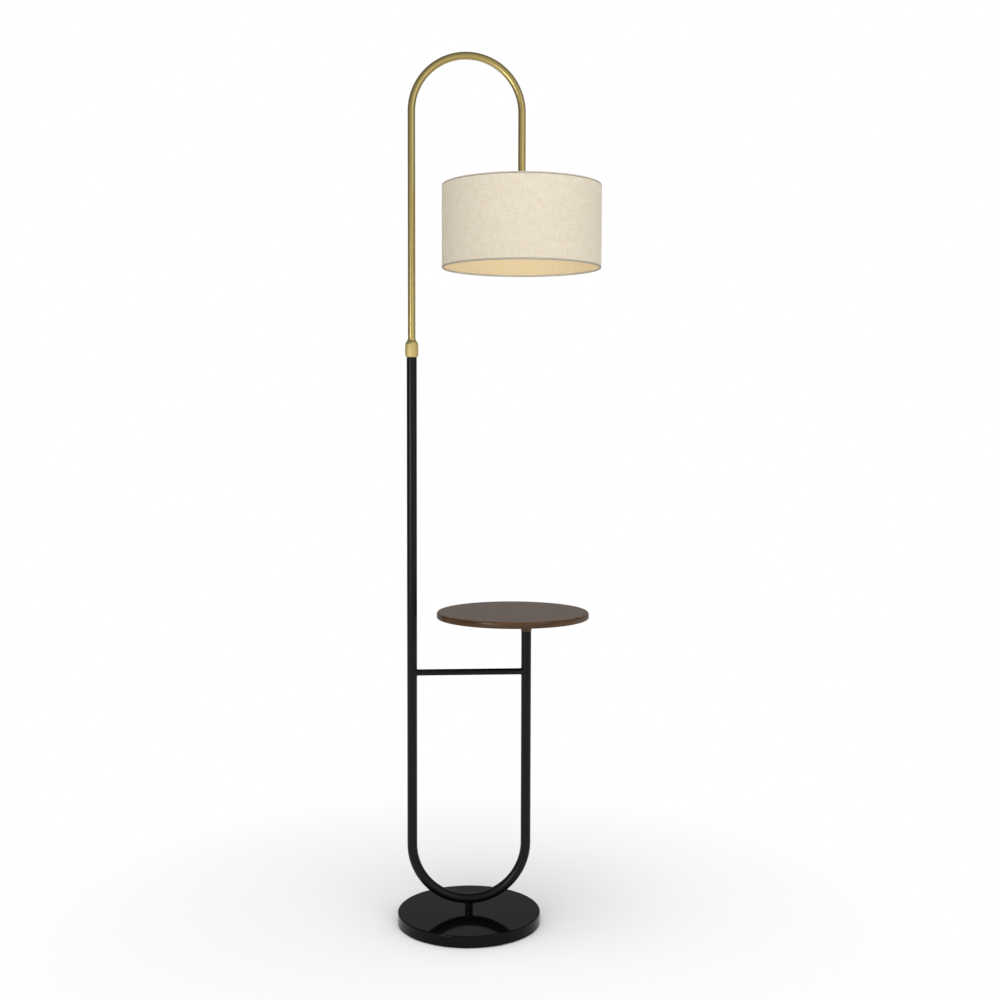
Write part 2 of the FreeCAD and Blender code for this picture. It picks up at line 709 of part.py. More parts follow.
def bulb_pieces():
    """Opal globe bulb hanging in the holder: glass, screw cap, insulator and tip."""
    cap = "bulb_cap_diameter / 2"
    tip = "bulb_tip_diameter / 2"
    globe = "bulb_diameter / 2"
    throat = f"{cap} - bulb_cap_wall - bulb_throat_gap"
    globe_centre = f"bulb_bottom + {globe}"
    throat_height = f"{globe_centre} + sqrt(({globe}) ^ 2 - ({throat}) ^ 2)"
    inner_throat = f"({throat} - bulb_wall)"
    inner_globe = f"({globe} - bulb_wall)"
    inner_height = f"{globe_centre} + sqrt({inner_globe} ^ 2 - {inner_throat} ^ 2)"
    turned("bulb_glass", [
        ("0", "bulb_bottom"),
        (globe, globe_centre, globe, "left"),
        (throat, throat_height, globe, "left"),
        (throat, "bulb_cap_foot + bulb_wall"),
        (inner_throat, "bulb_cap_foot + bulb_wall"),
        (inner_throat, inner_height),
        (inner_globe, globe_centre, inner_globe, "right"),
        ("0", "bulb_bottom + bulb_wall", inner_globe, "right")], x="shade_axis")
    sleeve("bulb_cap", f"{cap} - bulb_cap_wall", cap, "bulb_cap_foot", "bulb_cap_top", x="shade_axis")
    turned("bulb_insulator", [
        ("0", "bulb_cap_top"), (cap, "bulb_cap_top"), (tip, "bulb_insulator_top"),
        ("0", "bulb_insulator_top")], x="shade_axis")
    turned("bulb_tip", [
        ("0", "bulb_insulator_top"), (tip, "bulb_insulator_top"), (f"{tip} / 2", "bulb_tip"),
        ("0", "bulb_tip")], x="shade_axis")


# ---------------------------------------------------------------- shade

HEM_ANGLES = range(-90, 181, 45)


def shade_rim(name, rise, turn=None):
    """Rim wire and the stiff strip of cloth folded over it, open towards the inside of the drum."""
    middle = {"x": "shade_axis", "z": f"shade_middle + {rise}"}
    wire = place(doc.addObject("Part::Torus", f"shade_{name}_wire"), **middle)
    bind(wire, Radius1="rim_circle", Radius2="rim_wire_radius")
    turned(f"shade_{name}_hem", [
        (f"rim_circle + ({radius}) * cos({angle})", f"({radius}) * sin({angle})")
        for radius, angles in (("rim_radius", HEM_ANGLES),
                               ("rim_wire_radius + rim_cloth_gap", reversed(HEM_ANGLES)))
        for angle in angles], turn=turn, **middle)


def shade_fitter():
    """Hub washer and three arms that rise to the top rim wire."""
    middle = "hub_foot + hub_thickness / 2"
    hub_edge = "hub_diameter / 2 - arm_diameter / 2"
    across, up = "(rim_circle - arm_flat_run)", f"(shade_middle + rim_rise - ({middle}))"
    stop_short = f"(rim_wire_radius + arm_end_gap) / sqrt({across} ^ 2 + {up} ^ 2)"
    reach = f"rim_circle - {across} * {stop_short}"
    arm_top = f"shade_middle + rim_rise - {up} * {stop_short}"
    hub = sleeve("shade_fitter", "holder_radius + seat_gap", "hub_diameter / 2", "hub_foot",
                 "flange_foot", x="shade_axis")
    spine = new_sketch(hub, "XZ_Plane", "arm_spine")
    knee = Vector(number("arm_flat_run"), number(middle), 0)
    start = Vector(number(hub_edge), number(middle), 0)
    end = Vector(number(reach), number(arm_top), 0)
    rise = (end - knee).normalize()
    half_turn = math.atan2(rise.y, rise.x) / 2
    radius = number("arm_bend_radius")
    run = radius * math.tan(half_turn)
    bend_start = knee - Vector(run, 0, 0)
    bend_end = knee + rise * run
    centre = bend_start + Vector(0, radius, 0)
    bottom = -math.pi / 2
    spine.addGeometry([
        Part.LineSegment(start, bend_start),
        Part.ArcOfCircle(Part.Circle(centre, Vector(0, 0, 1), radius), bottom, bottom + 2 * half_turn),
        Part.LineSegment(bend_end, end)])
    spine.addConstraint(Sketcher.Constraint("Tangent", 0, 2, 1, 1))
    spine.addConstraint(Sketcher.Constraint("Tangent", 1, 2, 2, 1))
    constrain(spine, "DistanceX", 0, 1, text=hub_edge)
    constrain(spine, "DistanceY", 0, 1, text=middle)
    constrain(spine, "DistanceY", 0, 2, text=middle)
    constrain(spine, "DistanceX", 0, 2, text="arm_flat_run")
    constrain(spine, "Radius", 1, text="arm_bend_radius")
    constrain(spine, "DistanceX", 2, 2, text=reach)
    constrain(spine, "DistanceY", 2, 2, text=arm_top)
    section = new_sketch(hub, "YZ_Plane", "arm_section", hub_edge)
    draw_circle(section, "0", middle, "arm_diameter / 2")
    arm = hub.newObject("PartDesign::AdditivePipe", "shade_fitter_arm")
    arm.Profile = section
    arm.Spine = (spine, ["Edge1", "Edge2", "Edge3"])
    doc.recompute()
    arms = hub.newObject("PartDesign::PolarPattern", "shade_fitter_arms")
    arms.Originals = [arm]
    arms.Axis = (spine, ["V_Axis"])
    arms.Angle = 360
    arms.Occurrences = 3
    hub.Tip = arms


def shade_pieces():
    """Stiff liner, the linen laminated to it, both rims and the fitter."""
    foot, top = "shade_middle - cloth_rise", "shade_middle + cloth_rise"
    sleeve("shade_liner", "liner_inside", "liner_outside - seat_gap", foot, top, x="shade_axis")
    sleeve("shade_fabric", "liner_outside", "shade_radius", foot, top, x="shade_axis")
    shade_rim("top", "rim_rise")
    shade_rim("bottom", "-rim_rise", UPSIDE_DOWN)
    shade_fitter()


# ---------------------------------------------------------------- wiring

def lower_lead():
    """Lead from the back of the base up the neck, round the bend and up the pole to the swivel."""
    low = Vector(0, 0, number("lead_low_height"))
    start = Vector(0, number("base_radius - inlet_length - lead_start_gap"), number("inlet_height"))
    run = (start - low).normalize()
    turn = math.acos(-run.z)
    setback = number("lead_low_radius") * math.tan(turn / 2)
    before, after = low + run * setback, low + Vector(0, 0, setback)
    middle_way = (run + Vector(0, 0, 1)).normalize()
    corner_gap = number("lead_low_radius") / math.cos(turn / 2) - number("lead_low_radius")
    small, large = number("lead_turn_radius"), number("frame_half_width")
    bend = Vector(0, 0, number("bend_height"))
    hub = Vector(-small, 0, number("lead_turn_height"))
    towards = (bend - hub).normalize()
    joining = hub + towards * small
    leaving = Vector(0, 0, hub.z)
    halfway = hub + (towards + Vector(1, 0, 0)).normalize() * small
    out = (joining - bend).normalize()
    along_bend = bend + (out + Vector(-1, 0, 0)).normalize() * large
    pole = Vector(-large, 0, bend.z)
    head = Vector(-large, 0, number("pole_height"))
    route = Part.Wire([
        Part.makeLine(start, before),
        Part.Arc(before, low + middle_way * corner_gap, after).toShape(),
        Part.makeLine(after, leaving),
        Part.Arc(leaving, halfway, joining).toShape(),
        Part.Arc(joining, along_bend, pole).toShape(),
        Part.makeLine(pole, head)])
    section = Part.Wire([Part.makeCircle(number("lead_radius"), start, run)])
    lead = doc.addObject("Part::Feature", "lower_lead")
    lead.Shape = route.makePipeShell([section], True, False)
    expected = math.pi * number("lead_radius") ** 2 * route.Length
    if abs(lead.Shape.Volume / expected - 1) > 0.002:
        raise RuntimeError("the lower lead's volume is not its section times its length")


def leads():
    """The lamp's own wiring, in two lengths that meet inside the swivel spindle."""
    lower_lead()
    hairpin_tube("upper_lead", "lead_radius", None, POLE, "shade_axis", "arch_bend_height",
                 "pole_height + seat_gap", "switch_block_top + lead_end_gap", upward=True)


# ---------------------------------------------------------------- whole lamp

NODES = [
    "base_cover", "base_weight", "base_pad", "base_pipe", "base_washer", "base_nut", "cord_inlet",
    "neck_post", "frame_tube", "cross_bar", "pole_plug", "pole_stop_pin", "lower_lead",
    "leg_plug", "table_stud", "table_boss", "table_plate", "table_nut", "table_screws", "table_top",
    "collar", "arch_stop_pin", "swivel_spindle", "swivel_washer", "swivel_spring", "swivel_nut",
    "arch_tube", "arch_end_plug", "upper_lead", "holder_pipe", "holder_cap", "holder_shell",
    "holder_core", "screw_shell", "holder_contact", "shade_ring_nut", "switch_block",
    "switch_spindle", "switch_knob", "bulb_glass", "bulb_cap", "bulb_insulator", "bulb_tip",
    "shade_fitter", "shade_top_wire", "shade_bottom_wire", "shade_top_hem", "shade_bottom_hem",
    "shade_liner", "shade_fabric",
]

base_cover()
base_weight()
base_pieces()
neck_post()
frame_tube()
cross_bar()
table_pieces()
swivel_pieces()
collar()
arch_pieces()
holder_cap()
switch_pieces()
holder_pieces()
bulb_pieces()
shade_pieces()
leads()
doc.recompute()

for item in doc.Objects:
    if {"Invalid", "Error"} & set(item.State):
        raise RuntimeError(f"{item.Name} could not be built: {item.State}")

os.makedirs("parts", exist_ok=True)
for name in NODES:
    shape = doc.getObject(name).Shape
    solids = 4 if name == "table_screws" else 1
    if shape.isNull() or not shape.isValid() or len(shape.Solids) != solids:
        raise RuntimeError(f"{name} is not {solids} valid solid(s)")
    shape.exportStep(f"parts/{name}.step")
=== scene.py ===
import math

import bmesh
import bpy
from bpy.props import FloatProperty, FloatVectorProperty, PointerProperty
from mathutils import Matrix, Vector


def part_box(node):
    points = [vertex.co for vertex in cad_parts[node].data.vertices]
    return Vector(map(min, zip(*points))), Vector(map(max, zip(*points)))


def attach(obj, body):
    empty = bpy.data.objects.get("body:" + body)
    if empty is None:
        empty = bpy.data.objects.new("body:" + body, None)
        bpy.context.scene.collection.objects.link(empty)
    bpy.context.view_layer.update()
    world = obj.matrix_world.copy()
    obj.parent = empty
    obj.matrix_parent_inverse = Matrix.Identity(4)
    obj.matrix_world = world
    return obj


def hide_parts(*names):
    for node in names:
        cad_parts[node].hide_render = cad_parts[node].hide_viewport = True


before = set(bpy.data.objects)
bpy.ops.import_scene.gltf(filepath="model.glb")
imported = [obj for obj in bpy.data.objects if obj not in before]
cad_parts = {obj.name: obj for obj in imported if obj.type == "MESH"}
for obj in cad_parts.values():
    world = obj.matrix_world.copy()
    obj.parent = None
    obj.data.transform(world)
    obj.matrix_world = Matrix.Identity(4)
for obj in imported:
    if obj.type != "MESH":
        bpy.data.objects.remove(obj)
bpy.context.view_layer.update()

# The looks of a floor lamp with a table: a black bent frame on a gloss base, a walnut top, a brass arch
# that swivels on the pole, and a linen drum shade.  Everything is in metres, in the frame of the solids.

bl_info = {
    "name": "Floor lamp with table",
    "version": (1, 0, 0),
    "blender": (4, 5, 0),
    "location": "3D View > Sidebar > Lamp",
    "description": "Dresses a floor lamp with a table, a swivel arch and a drum shade",
    "category": "Object",
}

MM = 0.001
FULL_TURN = 2 * math.pi
UP = Vector((0, 0, 1))

LARGE_TURN = 192       # flats round the base, the table and the shade
SMALL_TURN = 96        # flats round tubes and turned fittings
BEND_STEPS = 96        # rings along a half turn of tube
ROUND_STEPS = 6        # flats along a rounded corner
JOIN = 0.002 * MM      # points closer than this are one


def linear(code):
    """A linear colour with full alpha from an sRGB hex code."""
    shares = [int(code[place:place + 2], 16) / 255 for place in (1, 3, 5)]
    return [s / 12.92 if s <= 0.04045 else ((s + 0.055) / 1.055) ** 2.4 for s in shares] + [1]


def length(name, description, millimetres):
    """A length property with its default in millimetres."""
    return FloatProperty(name=name, description=description, default=millimetres * MM, min=0,
                         precision=5, unit="LENGTH", subtype="DISTANCE")


def colour(name, description, code):
    """A colour property with its default as a hex code."""
    return FloatVectorProperty(name=name, description=description, default=linear(code), size=4,
                               min=0, max=1, subtype="COLOR")


class LampSizes(bpy.types.PropertyGroup):
    """Sizes that the looks add to the solids."""

    edge_break: length("Edge break", "Rounding of machined and turned edges", 0.4)
    weld_width: length("Weld width", "Fillet of weld where black tubes meet", 1.6)
    seam_overlap: length("Seam overlap", "Width of the lap where the shade's cloth is glued", 10)
    seam_step: length("Seam step", "How far the lap stands out", 0.45)
    thread_pitch: length("Thread pitch", "Pitch of the bulb's thread", 3.6)
    thread_depth: length("Thread depth", "Depth of the bulb's rolled thread", 0.5)
    coat_grain: length("Powder grain", "Size of the powder coat's fine texture", 1.2)
    lacquer_wave: length("Lacquer wave", "Size of the lacquer's faint orange peel", 9)
    brush_pitch: length("Brush pitch", "Spacing of the brush lines on brass", 3.6)
    ring_width: length("Ring width", "Width of the walnut's growth rings", 22)
    pore_width: length("Pore width", "Width of the walnut's open pores", 0.7)
    thread_spacing: length("Thread spacing", "Spacing of the linen's threads", 3.0)


class LampColours(bpy.types.PropertyGroup):
    """Colours of the finishes."""

    powder: colour("Powder coat", "Black powder coat of the frame", "#0a0a0c")
    lacquer: colour("Lacquer", "Black gloss lacquer of the base", "#080707")
    brass: colour("Brass", "Brushed brass of the arch", "#b8a464")
    turned_brass: colour("Turned brass", "Satin turned brass of the collar", "#dac98c")
    walnut_light: colour("Walnut, light", "Early wood of the walnut", "#67461e")
    walnut_dark: colour("Walnut, dark", "Late wood of the walnut", "#39240f")
    # Raised threads take the light linen colour and the hollows between them the dark one: painted light
    # and shade in the weave, besides the linen's own slubs.
    linen_light: colour("Linen, light", "Raised threads of the linen", "#f9f3e6")
    linen_dark: colour("Linen, dark", "Hollows and natural slubs of the linen", "#e8d8b8")
    hem: colour("Hem", "Turned-in hems of the shade", "#c8bdb2")
    lining: colour("Lining", "Cream lining of the shade", "#fff0cb")
    felt: colour("Felt", "Felt under the base", "#1c1c1d")
    iron: colour("Cast iron", "Weight in the base", "#3a3836")
    zinc: colour("Zinc", "Plated fasteners", "#b4b6b8")
    thermoset: colour("Thermoset", "Black moulded switch and ring nut", "#151414")
    nylon: colour("Nylon", "Friction washer", "#e3ded0")
    steatite: colour("Steatite", "Insulating core of the lamp holder", "#dcd8cf")
    nickel: colour("Nickel", "Screw shell and bulb cap", "#c3bfb6")
    opal: colour("Opal glass", "Bulb glass", "#f4f2ec")
    black_glass: colour("Black glass", "Insulator of the bulb", "#0c0b0d")
    white_coat: colour("White coat", "Coated wire frame of the shade", "#e9e7e1")
    sheath: colour("Sheath", "Lead inside the tubes", "#202022")
    floor: colour("Floor", "Studio floor", "#ffffff")


# ---- places in the frame

def extent(node):
    """Half a node's width along X, which is a round piece's radius, and its lowest and highest points."""
    low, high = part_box(node)
    return (high.x - low.x) / 2, low.z, high.z


def across(node):
    """Half a node's width along X."""
    return extent(node)[0]


def foot(node):
    """The height of a node's lowest point."""
    return extent(node)[1]


def top(node):
    """The height of a node's highest point."""
    return extent(node)[2]


def middle(node):
    """The middle of a node's box."""
    low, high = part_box(node)
    return (low + high) / 2


POLE_X = middle("pole_plug").x
LEG_X = middle("table_boss").x
SHADE_X = middle("shade_fabric").x


# ---- building shapes

def verts_of(made):
    """The vertices among what an operator made."""
    return [item for item in made if isinstance(item, bmesh.types.BMVert)]


def edges_of(made):
    """The edges among what an operator made."""
    return [item for item in made if isinstance(item, bmesh.types.BMEdge)]


def close_up(bm):
    """Merge a shape's doubles and turn its faces outwards."""
    bmesh.ops.remove_doubles(bm, verts=bm.verts[:], dist=JOIN)
    bmesh.ops.recalc_face_normals(bm, faces=bm.faces[:])


def shift(bm, x):
    """Move a whole shape along X."""
    bmesh.ops.translate(bm, vec=(x, 0, 0), verts=bm.verts[:])


def lay(bm, place, angle, axis):
    """Turn a whole shape about an axis through the origin and move it to its place."""
    matrix = Matrix.Translation(place) @ Matrix.Rotation(angle, 4, axis)
    bmesh.ops.transform(bm, matrix=matrix, verts=bm.verts[:])


def draw_outline(bm, corners, closed):
    """A chain of edges through corners (radius, height, rounding), with the last one optional."""
    points = [bm.verts.new((corner[0], 0, corner[1])) for corner in corners]
    for start, end in zip(points, points[1:] + points[:1] if closed else points[1:]):
        bm.edges.new((start, end))
    for point, corner in zip(points, corners):
        if len(corner) > 2:
            bmesh.ops.bevel(bm, geom=[point], offset=corner[2], offset_type="OFFSET",
                            segments=ROUND_STEPS, profile=0.5, affect="VERTICES", material=-1)


def arc(centre, radius, start, end, steps):
    """Corners along an arc about a centre (radius, height), from one angle in degrees to another."""
    angles = [math.radians(start + (end - start) * step / steps) for step in range(steps + 1)]
    return [(centre[0] + radius * math.cos(a), centre[1] + radius * math.sin(a)) for a in angles]


def between(start, end, radius):
    """Corners along an arc from one to another that bulges outwards, or inwards for a negative radius."""
    first, last = Vector(start), Vector(end)
    half = (last - first) / 2
    aside = Vector((half.y, -half.x)).normalized() * math.copysign(1, radius)
    centre = first + half - aside * math.sqrt(radius ** 2 - half.length_squared)
    angles = [math.degrees(math.atan2(*(point - centre).yx)) for point in (first, last)]
    return arc(centre, abs(radius), *angles, ROUND_STEPS)


def turned(corners, steps=SMALL_TURN, x=0, closed=True):
    """A shape turned about the upright axis at x from an outline of radii and heights."""
    bm = bmesh.new()
    draw_outline(bm, corners, closed)
    bmesh.ops.spin(bm, geom=bm.verts[:] + bm.edges[:], axis=UP, angle=FULL_TURN, steps=steps,
                   use_merge=True)
    close_up(bm)
    shift(bm, x)
    return bm


def ring(inside, outside, low, high, rounding, steps=SMALL_TURN, x=0):
    """A round sleeve with all its edges broken."""
    return turned([(inside, low, rounding), (outside, low, rounding), (outside, high, rounding),
                   (inside, high, rounding)], steps, x)


def cup(node, hole, wall, bend, steps=SMALL_TURN, x=0):
    """An even wall in a node's place, open below, with a rounded shoulder and a hole in its top."""
    radius, low, high = extent(node)
    return turned([(hole, high), (radius, high, bend), (radius, low), (radius - wall, low),
                   (radius - wall, high - wall, bend - wall), (hole, high - wall)], steps, x)


def start_tube(bm, radius, place, direction=UP, sides=SMALL_TURN):
    """The first ring of a tube, as the edges that the next step draws out."""
    turn = UP.rotation_difference(Vector(direction)).to_matrix().to_4x4()
    made = bmesh.ops.create_circle(bm, cap_ends=False, segments=sides, radius=radius,
                                   matrix=Matrix.Translation(place) @ turn)
    return list({edge for vert in made["verts"] for edge in vert.link_edges})


def draw_run(bm, edges, move):
    """Draw the last ring of a tube out along a straight line."""
    made = bmesh.ops.extrude_edge_only(bm, edges=edges)["geom"]
    bmesh.ops.translate(bm, vec=move, verts=verts_of(made))
    return edges_of(made)


def draw_bend(bm, edges, centre, axis, angle, steps):
    """Draw the last ring of a tube round a bend."""
    return edges_of(bmesh.ops.spin(bm, geom=edges, cent=centre, axis=axis, angle=angle,
                                   steps=steps)["geom_last"])


def unwrap(bm, radius, spot, near=None):
    """UVs in metres from a point's angle round an axis and distance along it, which spot gives.

    A face's corners take angles next to its middle's, or next to the one that near gives for its middle.
    """
    layer = bm.loops.layers.uv.verify()
    for face in bm.faces:
        centre = face.calc_center_median()
        aim = near(centre) if near else spot(centre)[0]
        for loop in face.loops:
            angle, along = spot(loop.vert.co)
            angle += FULL_TURN * round((aim - angle) / FULL_TURN)
            loop[layer].uv = (angle * radius, along)


def unwrap_round(bm, radius, x=0):
    """UVs in metres round an upright axis at x and up it."""
    unwrap(bm, radius, lambda point: (math.atan2(point.y, point.x - x), point.z))


def unwrap_wood(bm, radius, x):
    """UVs in metres with the grain along X on flat faces and round the edge on the rim."""
    unwrap_round(bm, radius, x)
    layer, level = bm.loops.layers.uv.verify(), 0.7
    for face in bm.faces:
        if abs(face.normal.z) > level:
            for loop in face.loops:
                loop[layer].uv = loop.vert.co.xy


def hairpin(radius, left, right, bend, start, end, side):
    """A tube of two upright runs joined by a half circle, above them for a side of 1, or else below."""
    bm = bmesh.new()
    centre, large = (left + right) / 2, (right - left) / 2
    edges = start_tube(bm, radius, (left, 0, start))
    edges = draw_run(bm, edges, (0, 0, bend - start))
    edges = draw_bend(bm, edges, (centre, 0, bend), (0, side, 0), math.pi, BEND_STEPS)
    draw_run(bm, edges, (0, 0, end - bend))
    close_up(bm)

    def spot(point):
        """The angle round the tube and the distance along it."""
        x, z = point.x - centre, (point.z - bend) * side
        if z > 0:
            return math.atan2(point.y, math.hypot(x, z) - large), large * math.atan2(z, -x)
        return math.atan2(point.y, abs(x) - large), z if x < 0 else large * math.pi - z

    unwrap(bm, radius, spot)
    return bm


def flute(bm, beyond, count, depth):
    """Press flutes into what lies beyond a radius of the upright axis through the origin."""
    for vert in bm.verts:
        radius = math.hypot(vert.co.x, vert.co.y)
        if radius > beyond:
            wave = 0.5 - 0.5 * math.cos(count * math.atan2(vert.co.y, vert.co.x))
            vert.co.xy *= 1 - wave * depth / radius


def threaded(sizes, node):
    """A thin shell with a rolled thread in a node's place, open at both ends."""
    bm = bmesh.new()
    radius, low, high = extent(node)
    pitch, steps, flats = sizes.thread_pitch, 8, SMALL_TURN // 2
    waves = [0.5 + 0.5 * math.cos(FULL_TURN * step / steps) for step in range(steps + 1)]
    draw_outline(bm, [(radius - sizes.thread_depth * wave, low - pitch + pitch * step / steps)
                      for step, wave in enumerate(waves)], closed=False)
    turns = math.ceil((high - low) / pitch) + 2
    bmesh.ops.spin(bm, geom=bm.verts[:] + bm.edges[:], axis=UP, dvec=(0, 0, pitch / flats),
                   angle=FULL_TURN * turns, steps=turns * flats)
    bmesh.ops.remove_doubles(bm, verts=bm.verts[:], dist=JOIN)
    for height, out in ((low, -1), (high, 1)):
        bmesh.ops.bisect_plane(bm, geom=bm.verts[:] + bm.edges[:] + bm.faces[:], dist=JOIN,
                               plane_co=(0, 0, height), plane_no=(0, 0, out), clear_outer=True)
    bmesh.ops.recalc_face_normals(bm, faces=bm.faces[:])
    shift(bm, SHADE_X)
    return bm


def add_object(bm, name, material):
    """Turn a shape into an object of the scene with one material."""
    mesh = bpy.data.meshes.new(name)
    bm.to_mesh(mesh)
    bm.free()
    mesh.materials.append(material)
    made = bpy.data.objects.new(name, mesh)
    bpy.context.scene.collection.objects.link(made)
    return made


def add_piece(bm, name, body, slot, *nodes, sharp=32, even=False):
    """Turn a shape into a piece that rides on a body, takes a slot's finish and stands for some nodes."""
    piece = add_object(bm, name, FINISHES[slot])
    piece.data.shade_smooth()
    piece.data.set_sharp_from_angle(angle=math.radians(sharp))
    if even:
        # Flat faces stay flat next to small roundings.
        piece.modifiers.new("even_shading", "WEIGHTED_NORMAL").keep_sharp = True
    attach(piece, body)
    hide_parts(*nodes)
    return piece


def add_wall(piece, thickness):
    """Give an open tube or sheet its wall, inwards, with square rims."""
    rims = bmesh.new()
    rims.from_mesh(piece.data)
    for edge in rims.edges:
        if edge.is_boundary:
            edge.smooth = False
    rims.to_mesh(piece.data)
    rims.free()
    wall = piece.modifiers.new("wall", "SOLIDIFY")
    wall.thickness = thickness
    wall.offset = -1
    return piece


def dress(slot, *nodes):
    """Give solids that keep their own shape a slot's finish."""
    for node in nodes:
        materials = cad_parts[node].data.materials
        materials.clear()
        materials.append(FINISHES[slot])


# ---- finishes

FINISHES = {}          # by the record's material slots


def add_node(tree, kind, inputs=None, **settings):
    """Add a shader node; each input takes a value, another node's output or a node for its first output."""
    node = tree.nodes.new("ShaderNode" + kind)
    for name, value in settings.items():
        setattr(node, name, value)
    for name, value in (inputs or {}).items():
        if isinstance(value, bpy.types.Node):
            value = value.outputs[0]
        if isinstance(value, bpy.types.NodeSocket):
            tree.links.new(value, node.inputs[name])
        else:
            node.inputs[name].default_value = value
    return node


def new_finish(name, build, *details, **settings):
    """A material named for the real one, whose surface is the shader that build makes in its tree."""
    material = bpy.data.materials.new(name)
    material.use_nodes = True
    tree = material.node_tree
    tree.nodes.clear()
    add_node(tree, "OutputMaterial", {"Surface": build(tree, *details, **settings)})
    return material


def streaks(tree, place, size, *stretch, detail=2):
    """Noise with features of a real size, longer along an axis whose stretch is above 1."""
    pressed = add_node(tree, "Mapping", {"Vector": place,
                                         "Scale": [1 / (size * share) for share in stretch]})
    return add_node(tree, "TexNoise", {"Vector": pressed, "Scale": 1, "Detail": detail})


def surface(tree, pattern, light, dark, relief, roughness, tint_by=None, **extra):
    """A shader whose colour, gloss and relief, in mm, follow a pattern.

    The roughness is a range that the pattern spans, one value or a node.
    """
    tint = add_node(tree, "Mix", {0: tint_by or pattern, 6: light, 7: linear(dark)}, data_type="RGBA")
    if isinstance(roughness, tuple):
        roughness = add_node(tree, "MapRange", {"Value": pattern, "To Min": roughness[0],
                                                "To Max": roughness[1]})
    bump = add_node(tree, "Bump", {"Height": pattern, "Distance": relief * MM})
    return add_node(tree, "BsdfPrincipled", {
        "Base Color": tint.outputs[2], "Roughness": roughness, "Normal": bump,
        **{name.replace("_", " "): value for name, value in extra.items()}})


def powder_coat(tree, look, sizes):
    """Baked polyester powder on steel: even satin black with a fine pebble that softens reflections."""
    place = add_node(tree, "TexCoord").outputs["Object"]
    pebble = add_node(tree, "TexNoise", {"Vector": place, "Scale": 1 / sizes.coat_grain})
    broad = add_node(tree, "TexNoise", {"Vector": place, "Scale": 1 / (40 * MM)})
    return surface(tree, pebble, look.powder, "#0f0f12", relief=0.01, roughness=(0.25, 0.35),
                   tint_by=broad, Specular_IOR_Level=0.17)


def gloss_lacquer(tree, look, sizes):
    """Sprayed stoving lacquer on spun steel: near mirror black with a faint orange peel."""
    place = add_node(tree, "TexCoord").outputs["Object"]
    peel = add_node(tree, "TexNoise", {"Vector": place, "Scale": 1 / sizes.lacquer_wave})
    dust = add_node(tree, "TexNoise", {"Vector": place, "Scale": 1 / (2 * MM)})
    gloss = add_node(tree, "MapRange", {"Value": dust, "To Min": 0.03, "To Max": 0.13})
    bump = add_node(tree, "Bump", {"Height": peel, "Distance": 0.01 * MM})
    return add_node(tree, "BsdfPrincipled", {
        "Base Color": look.lacquer, "Roughness": gloss, "Normal": bump, "Specular IOR Level": 0.12})


def brushed_brass(tree, look, sizes):
    """Brass tube brushed along its length and lacquered: long soft streaks of light."""
    # Real brush lines are finer than 0.2 mm; they are drawn coarser, so that they show as streaks.
    lines = streaks(tree, add_node(tree, "UVMap"), sizes.brush_pitch, 1, 200, 1)
    return surface(tree, lines, look.brass, "#9f8d4e", relief=0.001, roughness=(0.28, 0.38), Metallic=1,
                   Coat_Weight=0.8, Coat_Roughness=0.3)


def turned_brass(tree, look, sizes, polished_from):
    """Brass turned on a lathe: satin with fine rings round it, and polished above a height."""
    # Real tool marks are 0.1 mm apart; they are drawn coarser, so that they show as faint rings.
    place = add_node(tree, "TexCoord").outputs["Object"]
    rings = streaks(tree, place, 0.5 * sizes.brush_pitch, 300, 300, 1)
    height = add_node(tree, "SeparateXYZ", {"Vector": place}).outputs["Z"]
    satin = add_node(tree, "MapRange", {"Value": rings, "To Min": 0.62, "To Max": 0.72})
    gloss = add_node(tree, "MapRange", {"Value": height, "From Min": polished_from,
                                        "From Max": polished_from + 0.5 * MM, "To Min": satin,
                                        "To Max": 0.3})
    return surface(tree, rings, look.turned_brass, "#cbb97c", relief=0.002, roughness=gloss, Metallic=1)


def walnut(tree, look, sizes):
    """Flat-cut walnut under satin lacquer: long figured growth rings and short open pores."""
    place = add_node(tree, "UVMap")
    # The rings swing slowly along the board, so their pattern is pressed together in that direction.
    along = add_node(tree, "Mapping", {"Vector": place, "Scale": (0.2, 1, 1)})
    unit_ring = 0.314      # spacing of a wave texture's rings at a scale of 1
    rings = add_node(tree, "TexWave", {"Vector": along, "Scale": unit_ring / sizes.ring_width,
                                       "Distortion": 8, "Detail": 2, "Detail Scale": 1.7},
                     wave_type="BANDS", bands_direction="Y", wave_profile="SIN").outputs[1]
    fibre = streaks(tree, place, 1.4 * MM, 30, 1, 1, detail=4)
    figure = add_node(tree, "Math", {0: rings, 1: 0.3, 2: fibre}, operation="MULTIPLY_ADD")
    wood_share = add_node(tree, "MapRange", {"Value": figure, "From Min": 0.4, "From Max": 1})
    wood = add_node(tree, "Mix", {0: wood_share, 6: look.walnut_dark, 7: look.walnut_light},
                    data_type="RGBA").outputs[2]
    pores = streaks(tree, place, sizes.pore_width, 14, 1, 1)
    filled = add_node(tree, "MapRange", {"Value": pores, "From Min": 0.28, "From Max": 0.38})
    open_share = add_node(tree, "MapRange", {"Value": filled, "To Min": 0.7, "To Max": 0})
    return surface(tree, filled, wood, "#1a100a", relief=0.03, roughness=0.3, tint_by=open_share,
                   Specular_IOR_Level=0.2, Coat_Weight=0.3, Coat_Roughness=0.15)


